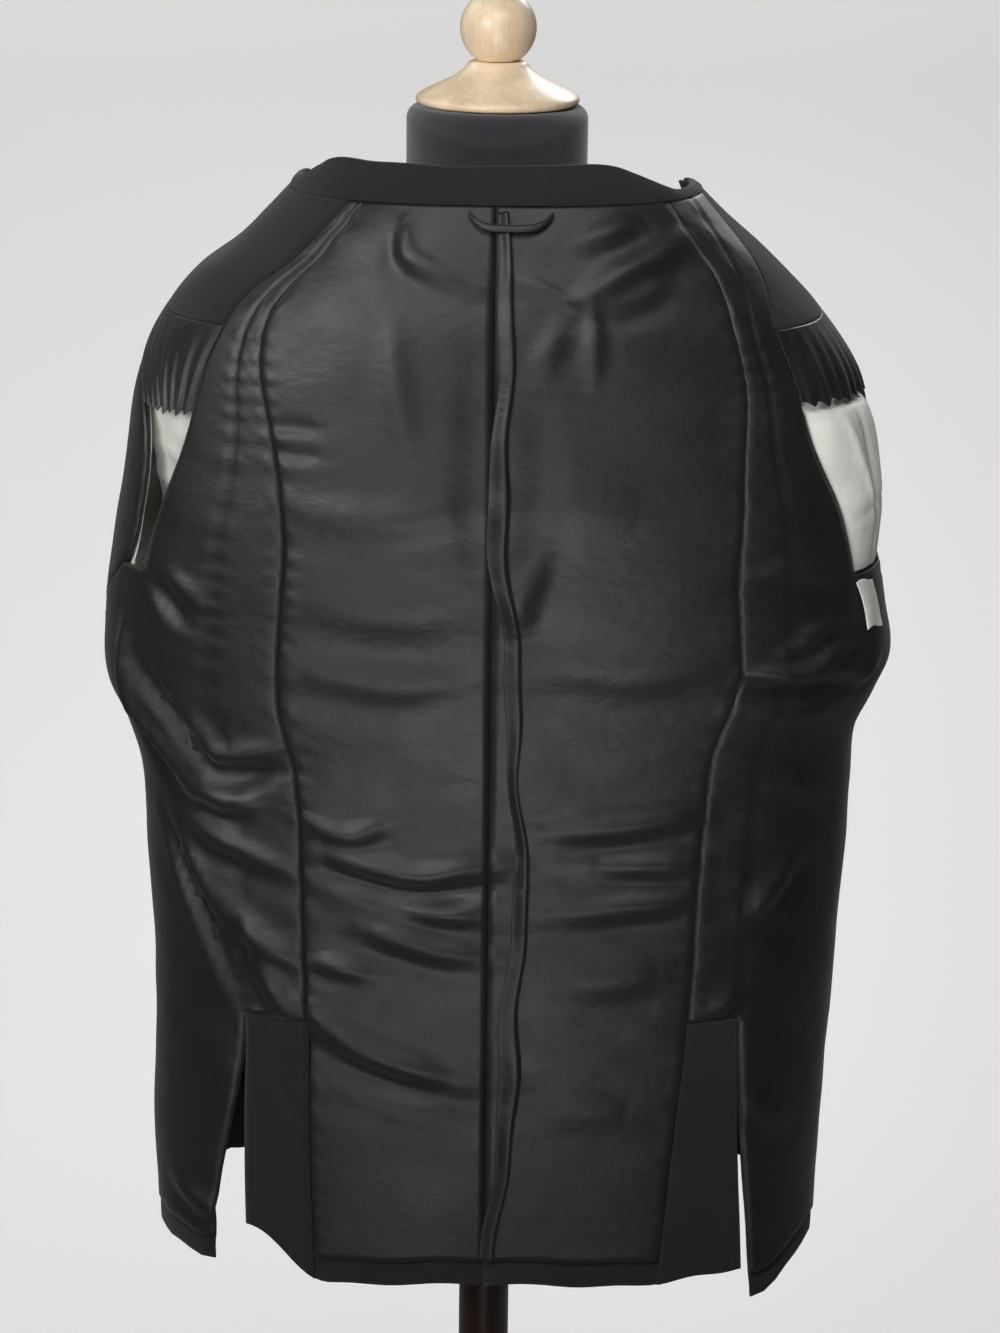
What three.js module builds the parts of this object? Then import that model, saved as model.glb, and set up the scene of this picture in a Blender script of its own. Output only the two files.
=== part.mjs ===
// A suit jacket turned inside out, resting on a limbless dress form.
// Millimetres, +Z up. The origin is the middle of the base's underside; the jacket's back faces -Y.
import * as THREE from "three";

// Driving dimensions of the jacket.
const satinWall = 1.2; // thickness of the satin lining
const woolWall = 2.0; // thickness of the wool shell
const layerGap = 1.2; // air between the lining and the shell under it
const seamGap = 0.17; // each piece stops this far short of its seam
const roundness = 0.8; // power of the sine and cosine in a level cut: under 1 squares the corners
const pleatHalfWidth = 7; // centre-back ease pleat
const collarHeight = 23;
const collarFall = 20; // how far the fall comes down inside the collar
const sleeveFlat = { top: 34, cuff: 23 }; // half the angle that a hanging sleeve takes, degrees
const sleeveDepth = { top: 27, cuff: 20 }; // half its thickness
const sleeveCentre = { top: 84, cuff: 71 }; // the angle where it hangs, degrees from the centre back
const sleeveInset = 19; // from the jacket's outer face to the hanging sleeve
const sleeveTopZ = 1140;
const cuffZ = 738;

// Driving dimensions of the dress form.
const neckRadius = 62;
const neckTopZ = 1478;
const torsoBottomZ = 705;
const capRadius = 56;
const knobRadius = 26;
const knobZ = 1530;
const poleRadius = 18.5;
const baseRadius = 175;
const baseHeight = 30;
const fitGap = 0.3; // between pieces that rest on or in each other

// Levels of the jacket's rows, from the collar seam to the hem.
const levels = [
  1423, 1400, 1372, 1340, 1310, 1280, 1240, 1204, 1168, 1132, 1098, 1064,
  1030, 990, 948, 903, 855, 800, 745, 680, 662,
];
const shoulderRow = 3;
const headRow = 5; // lower edge of the gathered sleeve head
const underarmRow = 8;
const ventRow = 16;
const liningHemRow = 19;
const hemRow = 20;

// Level cuts of the jacket: half-width on each side, and depth to the back and the front.
const sections = [
  { z: 1423, left: 141, right: 141, back: 92, front: 55 },
  { z: 1405, left: 158, right: 159, back: 101, front: 72 },
  { z: 1385, left: 178, right: 182, back: 108, front: 85 },
  { z: 1365, left: 205, right: 202, back: 114, front: 95 },
  { z: 1340, left: 226, right: 225, back: 121, front: 106 },
  { z: 1296, left: 246, right: 253, back: 127, front: 118 },
  { z: 1229, left: 257, right: 266, back: 134, front: 126 },
  { z: 1178, left: 266, right: 270, back: 136, front: 130 },
  { z: 1136, left: 272, right: 278, back: 134, front: 130 },
  { z: 1100, left: 274, right: 283, back: 131, front: 128 },
  { z: 1074, left: 271, right: 272, back: 129, front: 127 },
  { z: 1047, left: 258, right: 260, back: 127, front: 126 },
  { z: 1005, left: 248, right: 258, back: 126, front: 125 },
  { z: 929, left: 245, right: 255, back: 128, front: 125 },
  { z: 852, left: 241, right: 251, back: 132, front: 128 },
  { z: 748, left: 243, right: 245, back: 138, front: 132 },
  { z: 640, left: 240, right: 242, back: 142, front: 136 },
];

// Seams of each half as angles from the centre back, in degrees, at a few levels:
// side-back seam, vent edge, back and front of the armhole, facing edge, front edge.
const seams = {
  left: [
    { z: 1423, sideBack: 34, vent: 36, armBack: 39, armFront: 92, facing: 102, front: 118 },
    { z: 1372, sideBack: 38, vent: 42, armBack: 47, armFront: 98, facing: 110, front: 138 },
    { z: 1340, sideBack: 38, vent: 43, armBack: 49, armFront: 98, facing: 114, front: 146 },
    { z: 1272, sideBack: 31, vent: 39, armBack: 51, armFront: 70, facing: 124, front: 156 },
    { z: 1204, sideBack: 27, vent: 40, armBack: 58, armFront: 66, facing: 131, front: 161 },
    { z: 1168, sideBack: 26.5, vent: 40, armBack: 60, armFront: 70, facing: 134, front: 163 },
    { z: 1105, sideBack: 26.5, vent: 40, armBack: 62, armFront: 98, facing: 137, front: 165 },
    { z: 855, sideBack: 26, vent: 40, armBack: 62, armFront: 102, facing: 143, front: 166 },
    { z: 640, sideBack: 24.5, vent: 40, armBack: 62, armFront: 102, facing: 145, front: 166 },
  ],
  right: [
    { z: 1423, sideBack: 50, vent: 66, armBack: 82, armFront: 96, facing: 104, front: 118 },
    { z: 1372, sideBack: 46, vent: 54, armBack: 64, armFront: 98, facing: 110, front: 138 },
    { z: 1340, sideBack: 41, vent: 46, armBack: 53, armFront: 98, facing: 114, front: 146 },
    { z: 1272, sideBack: 36, vent: 42, armBack: 51, armFront: 84, facing: 124, front: 156 },
    { z: 1204, sideBack: 34, vent: 44, armBack: 61, armFront: 84, facing: 131, front: 161 },
    { z: 1168, sideBack: 33, vent: 44, armBack: 64, armFront: 88, facing: 134, front: 163 },
    { z: 1105, sideBack: 32, vent: 42, armBack: 64, armFront: 98, facing: 137, front: 165 },
    { z: 965, sideBack: 29.5, vent: 40, armBack: 63, armFront: 102, facing: 141, front: 166 },
    { z: 855, sideBack: 29, vent: 40, armBack: 62, armFront: 102, facing: 143, front: 166 },
    { z: 640, sideBack: 25, vent: 46, armBack: 64, armFront: 102, facing: 145, front: 166 },
  ],
};

// Cells between one seam and the next.
const spans = [
  { from: "centre", to: "sideBack", cells: 5 },
  { from: "sideBack", to: "vent", cells: 1 },
  { from: "vent", to: "armBack", cells: 1 },
  { from: "armBack", to: "armFront", cells: 2 },
  { from: "armFront", to: "facing", cells: 3 },
  { from: "facing", to: "front", cells: 2 },
];

// The largest folds: a soft ridge from one place to another, each given as an angle and a level.
const folds = [
  { side: "left", a0: 72, z0: 1110, a1: 48, z1: 1010, wide: 26, height: 9 },
  { side: "left", a0: 66, z0: 1060, a1: 44, z1: 985, wide: 22, height: -5 },
  { side: "left", a0: 62, z0: 990, a1: 36, z1: 870, wide: 24, height: 7 },
  { side: "left", a0: 24, z0: 855, a1: 4, z1: 805, wide: 22, height: 7 },
  { side: "right", a0: 60, z0: 1110, a1: 80, z1: 1085, wide: 24, height: 7 },
  { side: "right", a0: 38, z0: 960, a1: 8, z1: 945, wide: 22, height: 6 },
  { side: "right", a0: 34, z0: 1400, a1: 8, z1: 1372, wide: 20, height: 5 },
  { side: "right", a0: 58, z0: 900, a1: 46, z1: 940, wide: 22, height: 5 },
];
const girthPerDegree = 3.4; // mean length of a degree along the jacket's level cut

// Cloth colours and finishes.
const finish = {
  satin: { color: 0x3e3c3d, roughness: 0.42, metalness: 0 },
  wool: { color: 0x3a393c, roughness: 0.92, metalness: 0 },
  white: { color: 0xd6d5cc, roughness: 0.6, metalness: 0 },
  jersey: { color: 0x2b2a2e, roughness: 0.95, metalness: 0 },
  capWood: { color: 0xe9cfae, roughness: 0.5, metalness: 0 },
  standWood: { color: 0x3a1f14, roughness: 0.4, metalness: 0 },
  horn: { color: 0x1c1a1a, roughness: 0.35, metalness: 0 },
};

const object = new THREE.Group();
const degree = Math.PI / 180;
const signOf = { left: -1, right: 1 };
const mix = (a, b, t) => a + (b - a) * t;
const clamp01 = (t) => Math.min(1, Math.max(0, t));
const smooth = (t) => clamp01(t) ** 2 * (3 - 2 * clamp01(t));

// Reads one column of a table at level z by a cubic through its rows, which run downwards.
function readTable(table, column, z) {
  const last = table.length - 1;
  let k = 0;
  while (k < last - 1 && z < table[k + 1].z) k += 1;
  const slope = (i) => {
    const before = table[Math.max(0, i - 1)];
    const after = table[Math.min(last, i + 1)];
    return (after[column] - before[column]) / (after.z - before.z);
  };
  const step = table[k + 1].z - table[k].z;
  const t = clamp01((z - table[k].z) / step);
  const rise = t * t * (3 - 2 * t);
  return (
    mix(table[k][column], table[k + 1][column], rise) +
    step * t * (1 - t) * ((1 - t) * slope(k) - t * slope(k + 1))
  );
}

// Height of the folds at an angle and a level: each is a Gaussian ridge that fades at its two ends.
function foldHeight(side, angle, z) {
  let sum = 0;
  for (const fold of folds.filter((f) => f.side === side)) {
    const alongX = (fold.a1 - fold.a0) * girthPerDegree;
    const alongZ = fold.z1 - fold.z0;
    const atX = (angle - fold.a0) * girthPerDegree;
    const atZ = z - fold.z0;
    const reach = Math.hypot(alongX, alongZ);
    const t = (atX * alongX + atZ * alongZ) / reach ** 2;
    const away = (atX * alongZ - atZ * alongX) / reach;
    const past = Math.max(0, -t, t - 1) * reach;
    sum += fold.height * Math.exp(-(away ** 2 + past ** 2) / fold.wide ** 2);
  }
  return sum;
}

// A point of the jacket's outer face without its folds: a squared ellipse in each level cut.
function plainPoint(side, angle, z) {
  const wide = readTable(sections, side, z);
  const cosine = Math.cos(angle * degree);
  const deep = readTable(sections, cosine > 0 ? "back" : "front", z);
  return new THREE.Vector3(
    signOf[side] * wide * Math.abs(Math.sin(angle * degree)) ** roundness,
    -Math.sign(cosine) * deep * Math.abs(cosine) ** roundness,
    z,
  );
}

// The same point moved out along the face's normal by `out`, with the folds added.
function jacketPoint(side, angle, z, out = 0, fold = 1) {
  const step = 0.5;
  const across = plainPoint(side, Math.min(180, angle + step), z).sub(
    plainPoint(side, Math.max(0, angle - step), z),
  );
  const down = plainPoint(side, angle, z - step * 4).sub(
    plainPoint(side, angle, z + step * 4),
  );
  const normal = across.cross(down).normalize().multiplyScalar(-signOf[side]);
  const lift = out + fold * foldHeight(side, angle, z);
  return plainPoint(side, angle, z).addScaledVector(normal, lift);
}

// Turns triangles of Vector3 into a closed geometry whose faces point out.
function geometryOf(triangles) {
  const volume = triangles.reduce(
    (sum, [a, b, c]) => sum + a.dot(b.clone().cross(c)),
    0,
  );
  const facing = volume < 0 ? ([a, b, c]) => [a, c, b] : (t) => t;
  const flat = triangles
    .flatMap(facing)
    .flatMap((point) => [point.x, point.y, point.z]);
  const geometry = new THREE.BufferGeometry();
  geometry.setAttribute("position", new THREE.Float32BufferAttribute(flat, 3));
  geometry.computeVertexNormals();
  return geometry;
}

// A cloth wall over the kept cells of a grid: an outer and an inner face joined along every free edge.
// A wrapped grid closes round its columns.
function clothWall(columns, rows, keep, outer, inner, wrap = false) {
  const at = (i) => (wrap ? (i + columns) % columns : i);
  const kept = (i, j) =>
    j >= 0 && j < rows && (wrap || (i >= 0 && i < columns)) && keep(at(i), j);
  const triangles = [];
  const quad = (a, b, c, d) => triangles.push([a, b, c], [a, c, d]);
  const cached = (make) => {
    const store = new Map();
    return (i, j) => {
      const key = at(i) * 1000 + j;
      if (!store.has(key)) store.set(key, make(at(i), j));
      return store.get(key);
    };
  };
  const front = cached(outer);
  const back = cached(inner);
  for (let i = 0; i < columns; i += 1) {
    for (let j = 0; j < rows; j += 1) {
      if (!kept(i, j)) continue;
      quad(front(i, j), front(i, j + 1), front(i + 1, j + 1), front(i + 1, j));
      quad(back(i, j), back(i + 1, j), back(i + 1, j + 1), back(i, j + 1));
      if (!kept(i - 1, j)) quad(front(i, j), back(i, j), back(i, j + 1), front(i, j + 1));
      if (!kept(i + 1, j))
        quad(front(i + 1, j), front(i + 1, j + 1), back(i + 1, j + 1), back(i + 1, j));
      if (!kept(i, j - 1)) quad(front(i, j), front(i + 1, j), back(i + 1, j), back(i, j));
      if (!kept(i, j + 1))
        quad(front(i, j + 1), back(i, j + 1), back(i + 1, j + 1), front(i + 1, j + 1));
    }
  }
  return geometryOf(triangles);
}

function addPiece(name, geometry, look) {
  const mesh = new THREE.Mesh(geometry, new THREE.MeshStandardMaterial(finish[look]));
  mesh.name = name;
  object.add(mesh);
  return mesh;
}

// Column numbers of the seams, and the angle of any column at a level.
const columnOf = { centre: 0 };
for (const span of spans) columnOf[span.to] = columnOf[span.from] + span.cells;
const columnCount = columnOf.front;

function columnAngle(side, column, z) {
  const span = spans.find((s) => column <= columnOf[s.to]);
  const start = span.from === "centre" ? 0 : readTable(seams[side], span.from, z);
  const end = readTable(seams[side], span.to, z);
  return mix(start, end, (column - columnOf[span.from]) / span.cells);
}

// How far the hem lies from its level on each panel, growing from the vent's top down to the hem.
const hemShift = {
  left: { back: (angle) => 34 * smooth((angle - 22) / 18), side: () => 2 },
  right: { back: () => 0, side: (angle) => -24 * smooth((75 - angle) / 30) },
};
// How far the side panel's edge stands from the vent line at the hem: sideways, and out.
const ventGape = {
  left: { angle: 9, out: 3 },
  right: { angle: 3, out: 2.5 },
};

// A point of the jacket's grid. `panel` is back or side, which part from each other at the vent.
function gridPoint(side, panel, column, row, out, pull) {
  const below = smooth((levels[ventRow] - levels[row]) / (levels[ventRow] - levels[hemRow]));
  let angle = columnAngle(side, column, levels[row]);
  let lift = out;
  if (panel === "side") {
    const nearVent = clamp01(1 - (column - columnOf.vent) / 3);
    angle += ventGape[side].angle * below * nearVent;
    lift += ventGape[side].out * below * nearVent;
  }
  const z = levels[row] + hemShift[side][panel](angle) * below;
  const point = jacketPoint(side, angle, z, lift);
  if (!pull) return point;
  const aside = jacketPoint(side, angle + 1, z, lift).sub(point).normalize();
  const down = jacketPoint(side, angle, z - 4, lift).sub(point).normalize();
  return point
    .addScaledVector(aside, seamGap * pull.aside)
    .addScaledVector(down, seamGap * pull.down);
}

// A panel: the cells of the grid that `keep` names, between two depths under the outer face.
function panelWall(side, panel, keep, outOf, wall) {
  const inGrid = (i, j) => i >= 0 && j >= 0 && i < columnCount && j < hemRow;
  const kept = (i, j) => inGrid(i, j) && keep(i, j);
  const pullOf = (i, j) => {
    const corner = [kept(i - 1, j - 1), kept(i, j - 1), kept(i - 1, j), kept(i, j)].map(Number);
    return {
      aside: Math.sign(corner[1] + corner[3] - corner[0] - corner[2]),
      down: Math.sign(corner[2] + corner[3] - corner[0] - corner[1]),
    };
  };
  return clothWall(
    columnCount,
    hemRow,
    kept,
    (i, j) => gridPoint(side, panel, i, j, outOf(j), pullOf(i, j)),
    (i, j) => gridPoint(side, panel, i, j, outOf(j) - wall, pullOf(i, j)),
  );
}

const between = (value, low, high) => value >= low && value < high;
const inArmhole = (i, j) =>
  between(i, columnOf.armBack, columnOf.armFront) && between(j, shoulderRow, underarmRow);
const sideColumns = (i, j) =>
  i >= (j < ventRow ? columnOf.sideBack : columnOf.vent) &&
  i < (j < underarmRow ? columnOf.armBack : columnOf.armFront);
const frontColumns = (i, j) =>
  i >= (j < shoulderRow ? columnOf.armBack : columnOf.armFront) && !inArmhole(i, j);

// The lining and the facings: the satin and wool faces that are outermost on a jacket worn inside out.
function makeLining(side) {
  const atFace = () => 0;
  const cell = {
    back: (i, j) => i < columnOf.sideBack && j < liningHemRow,
    side: (i, j) => sideColumns(i, j) && j < liningHemRow,
    front: (i, j) =>
      frontColumns(i, j) && i < columnOf.facing && between(j, shoulderRow, liningHemRow),
    facing: (i, j) => frontColumns(i, j) && (i >= columnOf.facing || j < shoulderRow),
    vent: (i, j) => between(i, columnOf.sideBack, columnOf.vent) && j >= ventRow,
  };
  const add = (name, panel, keep, look) =>
    addPiece(`${name}_${side}`, panelWall(side, panel, keep, atFace, satinWall), look);
  add("back_lining", "back", cell.back, "satin");
  add("side_lining", "side", cell.side, "satin");
  add("front_lining", "side", cell.front, "satin");
  add("front_facing", "side", cell.facing, "wool");
  add("vent_facing", "back", cell.vent, "wool");
}

// The wool shell under the lining. Its last row comes out level with the lining, as the turned-up hem.
function makeShell(side) {
  const depth = -(satinWall + layerGap);
  const outOf = (row) => (row === hemRow ? -(satinWall + fitGap) : depth);
  const cell = {
    back: (i, j) => i < (j < ventRow ? columnOf.sideBack : columnOf.vent),
    side: sideColumns,
    front: frontColumns,
  };
  addPiece(`back_${side}`, panelWall(side, "back", cell.back, outOf, woolWall), "wool");
  addPiece(`side_${side}`, panelWall(side, "side", cell.side, outOf, woolWall), "wool");
  addPiece(`front_${side}`, panelWall(side, "side", cell.front, outOf, woolWall), "wool");
}

// A free sheet on the jacket: a grid whose places come from `place(u, v)`, as side, angle, level and lift.
function sheetOn(name, columns, rows, place, wall, look) {
  const point = (drop) => (i, j) => {
    const { side, angle, z, out } = place(i / columns, j / rows);
    return jacketPoint(side, angle, z, out - drop);
  };
  addPiece(name, clothWall(columns, rows, () => true, point(0), point(wall)), look);
}

// The centre-back ease pleat: a narrow strip that lies on the two back linings and wanders a little.
const pleatLine = [
  { z: 1419, x: 7 },
  { z: 1362, x: 8 },
  { z: 1300, x: 6 },
  { z: 1180, x: 6 },
  { z: 1125, x: 14 },
  { z: 1045, x: 18 },
  { z: 950, x: 22 },
  { z: 870, x: 18 },
  { z: 790, x: 14 },
  { z: 684, x: 4 },
];

// The angle at which the plain face stands x away from the centre, on the side that x names.
function angleAtX(x, z) {
  const side = x < 0 ? "left" : "right";
  const share = Math.abs(x) / readTable(sections, side, z);
  return { side, angle: Math.asin(clamp01(share) ** (1 / roundness)) / degree };
}

function makePleat() {
  const rows = liningHemRow;
  const point = (out) => (i, j) => {
    const z = levels[j] - (j === 0 ? 4 : 0) + (j === rows ? 4 : 0);
    const x = readTable(pleatLine, "x", z) + (i - 1) * pleatHalfWidth;
    const { side, angle } = angleAtX(x, z);
    return jacketPoint(side, angle, z, out);
  };
  const lift = 1;
  const wall = clothWall(2, rows, () => true, point(lift + satinWall), point(lift));
  addPiece("centre_back_pleat", wall, "satin");
}

// The collar: a stand that rises and leans in from the collar seam, turned over into its fall inside.
const collarEnds = { left: 104, right: 104 };
const collarRise = [
  { z: 104, left: 6, right: 3 },
  { z: 78, left: 8, right: 4 },
  { z: 58, left: collarHeight, right: 6 },
  { z: 34, left: collarHeight + 1, right: collarHeight },
  { z: 0, left: collarHeight, right: collarHeight },
];

function makeCollar() {
  const halfColumns = 9;
  const leanIn = 12;
  const turn = 5; // distance from the stand to the fall
  const seamZ = levels[0] + fitGap;
  const steps = [
    { up: 0, inward: 0 },
    { up: 0.55, inward: 0.4 },
    { up: 1, inward: 1 },
  ];
  const profile = (i) => {
    const signed = mix(-collarEnds.left, collarEnds.right, i / (2 * halfColumns));
    const side = signed < 0 ? "left" : "right";
    const angle = Math.abs(signed);
    const rise = readTable(collarRise, side, angle);
    return { side, angle, rise };
  };
  const place = (i, j, drop) => {
    const { side, angle, rise } = profile(i);
    const onStand = j < steps.length;
    const step = onStand ? steps[j] : steps[2 * steps.length - 1 - j];
    const foot = onStand ? 0 : (1 - step.up) * Math.max(0, rise - collarFall);
    const inward = leanIn * step.inward + (onStand ? drop : turn - drop);
    const base = jacketPoint(side, angle, levels[0], 0, 0);
    const flat = new THREE.Vector3(base.x, base.y, 0).normalize();
    const crest = onStand ? step.up * rise - (j === 2 ? drop : 0) : step.up * rise + foot;
    base.z = seamZ + crest - (onStand || j > steps.length ? 0 : drop);
    return base.addScaledVector(flat, -inward);
  };
  const wall = clothWall(
    2 * halfColumns,
    2 * steps.length - 1,
    () => true,
    (i, j) => place(i, j, 0),
    (i, j) => place(i, j, woolWall),
  );
  addPiece("collar", wall, "wool");
}

// The hanger loop: a satin cord that sags below the collar seam, standing off the lining.
function makeHangerLoop() {
  const halfWidth = 28;
  const sag = 9;
  const height = 4;
  const wall = 1.4;
  const centreX = 10;
  const belowSeam = 3;
  const standOff = { ends: 0.5, middle: 5 };
  const columns = 10;
  const point = (drop) => (i, j) => {
    const t = (2 * i) / columns - 1;
    const slack = 1 - t ** 4;
    const z = levels[0] - belowSeam - sag * slack - j * height;
    const { side, angle } = angleAtX(centreX + halfWidth * t, z);
    const out = mix(standOff.ends, standOff.middle, slack) + wall - drop;
    return jacketPoint(side, angle, z, out);
  };
  addPiece("hanger_loop", clothWall(columns, 1, () => true, point(0), point(wall)), "satin");
}

// The gathered satin head of each sleeve lining, over the top of the armhole, with a scalloped foot.
function makeSleeveHead(side) {
  const columns = 10;
  const rows = headRow - shoulderRow;
  const gather = 1.6;
  const scallop = 5;
  const margin = 0.3;
  const place = (u, v) => {
    const wave = Math.cos(u * columns * Math.PI);
    const level = levels[shoulderRow + v * rows];
    const z = level - (v === 0 ? fitGap : 0) - (v === 1 ? scallop * wave : 0);
    const low = readTable(seams[side], "armBack", z) + margin;
    const high = readTable(seams[side], "armFront", z) - 3 * margin;
    return { side, angle: mix(low, high, u), z, out: gather * (1 - wave) * v };
  };
  sheetOn(`sleeve_head_${side}`, columns, rows, place, satinWall, "satin");
}

// A point of the hanging sleeve. `turn` runs round it from its back edge over the side nearest the form;
// `down` runs from the armhole, 0, past the level ring under the armhole, 1, to the cuff, 2.
function sleevePoint(side, turn, down) {
  const cosine = Math.cos(turn * 2 * Math.PI);
  const sine = Math.sin(turn * 2 * Math.PI);
  const squared = (value) => Math.sign(value) * Math.abs(value) ** 0.75;
  const armTop = levels[shoulderRow] - 4;
  const armFoot = levels[underarmRow] - 5;
  const ringZ = mix((armTop + armFoot) / 2, armTop, squared(sine));
  const low = readTable(seams[side], "armBack", ringZ) - 1.5;
  const high = readTable(seams[side], "armFront", ringZ) + 1.5;
  const ringAngle = mix((low + high) / 2, low, squared(cosine));
  const ringOut = -7.0;
  const lower = clamp01(down - 1);
  const half = mix(sleeveFlat.top, sleeveFlat.cuff, lower);
  const deep = mix(sleeveDepth.top, sleeveDepth.cuff, lower);
  const tubeAngle = mix(sleeveCentre.top, sleeveCentre.cuff, lower) - half * cosine;
  const tubeOut = -sleeveInset - deep - deep * sine;
  const tubeZ = mix(sleeveTopZ, cuffZ, lower);
  const join = smooth(clamp01(down));
  const sink = Math.sin((clamp01(down) * Math.PI) / 2);
  const z = mix(ringZ, tubeZ, clamp01(down) ** 1.6);
  return jacketPoint(side, mix(ringAngle, tubeAngle, join), z, mix(ringOut, tubeOut, sink), 0);
}

// The sleeve's wall, from `inner` to `outer` past its lining's inner face.
function sleeveWall(side, firstRow, keepTurn, inner, outer) {
  const around = 12;
  const rows = 10;
  const shape = (i, j) => {
    const down = j < 4 ? j / 4 : 1 + (j - 4) / (rows - 4);
    return sleevePoint(side, i / around, down);
  };
  const point = (out) => (i, j) => {
    const here = shape(i, j);
    const across = shape(i + 1, j).sub(shape(i - 1, j));
    const along = shape(i, Math.min(rows, j + 1)).sub(shape(i, Math.max(0, j - 1)));
    const normal = across.cross(along).normalize().multiplyScalar(signOf[side]);
    const edge = keepTurn(i) !== keepTurn((i + around - 1) % around);
    const pull = keepTurn(i) ? 1 : -1;
    const aside = shape(i + 1, j).sub(shape(i - 1, j)).normalize();
    return here
      .addScaledVector(normal, out)
      .addScaledVector(aside, edge ? pull * seamGap : 0);
  };
  return clothWall(
    around,
    rows,
    (i, j) => j >= firstRow && keepTurn(i),
    point(outer),
    point(inner),
    true,
  );
}

function makeSleeve(side) {
  const first = 2;
  const woolFrom = satinWall + layerGap;
  const woolTo = woolFrom + woolWall;
  const facesBody = (i) => i < 6;
  const lining = sleeveWall(side, 0, () => true, 0, satinWall);
  const top = sleeveWall(side, first, (i) => !facesBody(i), woolFrom, woolTo);
  const under = sleeveWall(side, first, facesBody, woolFrom, woolTo);
  addPiece(`sleeve_lining_${side}`, lining, "white");
  addPiece(`top_sleeve_${side}`, top, "wool");
  addPiece(`under_sleeve_${side}`, under, "wool");
}

// The white lining pulled out through the right armhole: a soft pouch, and the tab that hangs below it.
function makePouch() {
  const columns = 6;
  const rows = 8;
  const bulge = 13;
  const tuck = -3.2;
  const topZ = levels[headRow] + 3;
  const footZ = levels[underarmRow] + 1;
  const freeFrom = levels[headRow] - 14;
  const edgeMargin = 0.9;
  const side = "right";
  const place = (u, v) => {
    const z = mix(topZ, footZ, v);
    const low = readTable(seams[side], "armBack", z) + edgeMargin;
    const high = readTable(seams[side], "armFront", z) - edgeMargin;
    const free = clamp01((freeFrom - z) / (freeFrom - levels[underarmRow]));
    const swell = (4 * u * (1 - u)) ** 0.7 * Math.sin(Math.PI * free ** 0.6) ** 0.6;
    return { side, angle: mix(low, high, u), z, out: tuck + (bulge - tuck) * swell };
  };
  sheetOn("pulled_lining_right", columns, rows, place, satinWall, "white");
}

function makeTab() {
  const edges = { back: 66, front: 74 };
  const topZ = 1163;
  const footZ = 1130;
  const hangsOut = 4;
  const place = (u, v) => ({
    side: "right",
    angle: mix(edges.back, edges.front, u),
    z: mix(topZ, footZ, v),
    out: satinWall - fitGap + hangsOut * v,
  });
  sheetOn("lining_tab_right", 3, 3, place, satinWall, "white");
}

// A lapel, folded in along its roll line and lying between the front and the form.
function makeLapel(side) {
  const rows = 8;
  const columns = 3;
  const topZ = 1330;
  const footZ = 1060;
  const wall = 3;
  const rollDepth = -7.05;
  const slant = 1.5;
  const edgeMargin = 0.6;
  const lapelWidth = [
    { z: topZ, deg: 20 },
    { z: 1290, deg: 27 },
    { z: 1180, deg: 20 },
    { z: footZ, deg: 4 },
  ];
  const place = (u, v) => {
    const z = mix(topZ, footZ, v);
    const roll = readTable(seams[side], "front", z) - edgeMargin;
    const angle = roll - u * readTable(lapelWidth, "deg", z);
    return { side, angle, z, out: rollDepth - slant * u };
  };
  sheetOn(`lapel_${side}`, columns, rows, place, wall, "wool");
}

// Front buttons, sewn to the shell's face, which is the hidden face of a jacket worn inside out.
function makeButtons() {
  const places = [1010, 905];
  const fromEdge = 7;
  const faceRadius = 10;
  const backRadius = 9;
  const thickness = 3;
  const standOff = 2.5; // from the shell's face to the button's middle
  places.forEach((z, k) => {
    const angle = readTable(seams.left, "front", z) - fromEdge;
    const depth = -(satinWall + layerGap + woolWall + fitGap + standOff);
    const centre = jacketPoint("left", angle, z, depth, 0);
    const out = jacketPoint("left", angle, z, faceRadius, 0).sub(centre).normalize();
    const shape = new THREE.CylinderGeometry(faceRadius, backRadius, thickness, 24);
    const up = new THREE.Vector3(0, 1, 0);
    shape.applyQuaternion(new THREE.Quaternion().setFromUnitVectors(up, out));
    shape.translate(centre.x, centre.y, centre.z);
    addPiece(`front_button_${k + 1}`, shape, "horn");
  });
}

// The dress form's torso: half-width, and depth to the back and the front, at its levels.
const torso = [
  { z: 1428, wide: 66, back: 64, front: 62 },
  { z: 1416, wide: 88, back: 70, front: 64 },
  { z: 1404, wide: 147, back: 80, front: 66 },
  { z: 1385, wide: 169.2, back: 90, front: 76 },
  { z: 1360, wide: 191.2, back: 98, front: 88 },
  { z: 1320, wide: 197, back: 106, front: 98 },
  { z: 1260, wide: 190, back: 112, front: 104 },
  { z: 1170, wide: 176, back: 112, front: 108 },
  { z: 1080, wide: 160, back: 102, front: 102 },
  { z: 1000, wide: 150, back: 94, front: 96 },
  { z: 900, wide: 160, back: 106, front: 100 },
  { z: 800, wide: 172, back: 116, front: 104 },
  { z: torsoBottomZ, wide: 172, back: 116, front: 104 },
];

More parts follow.
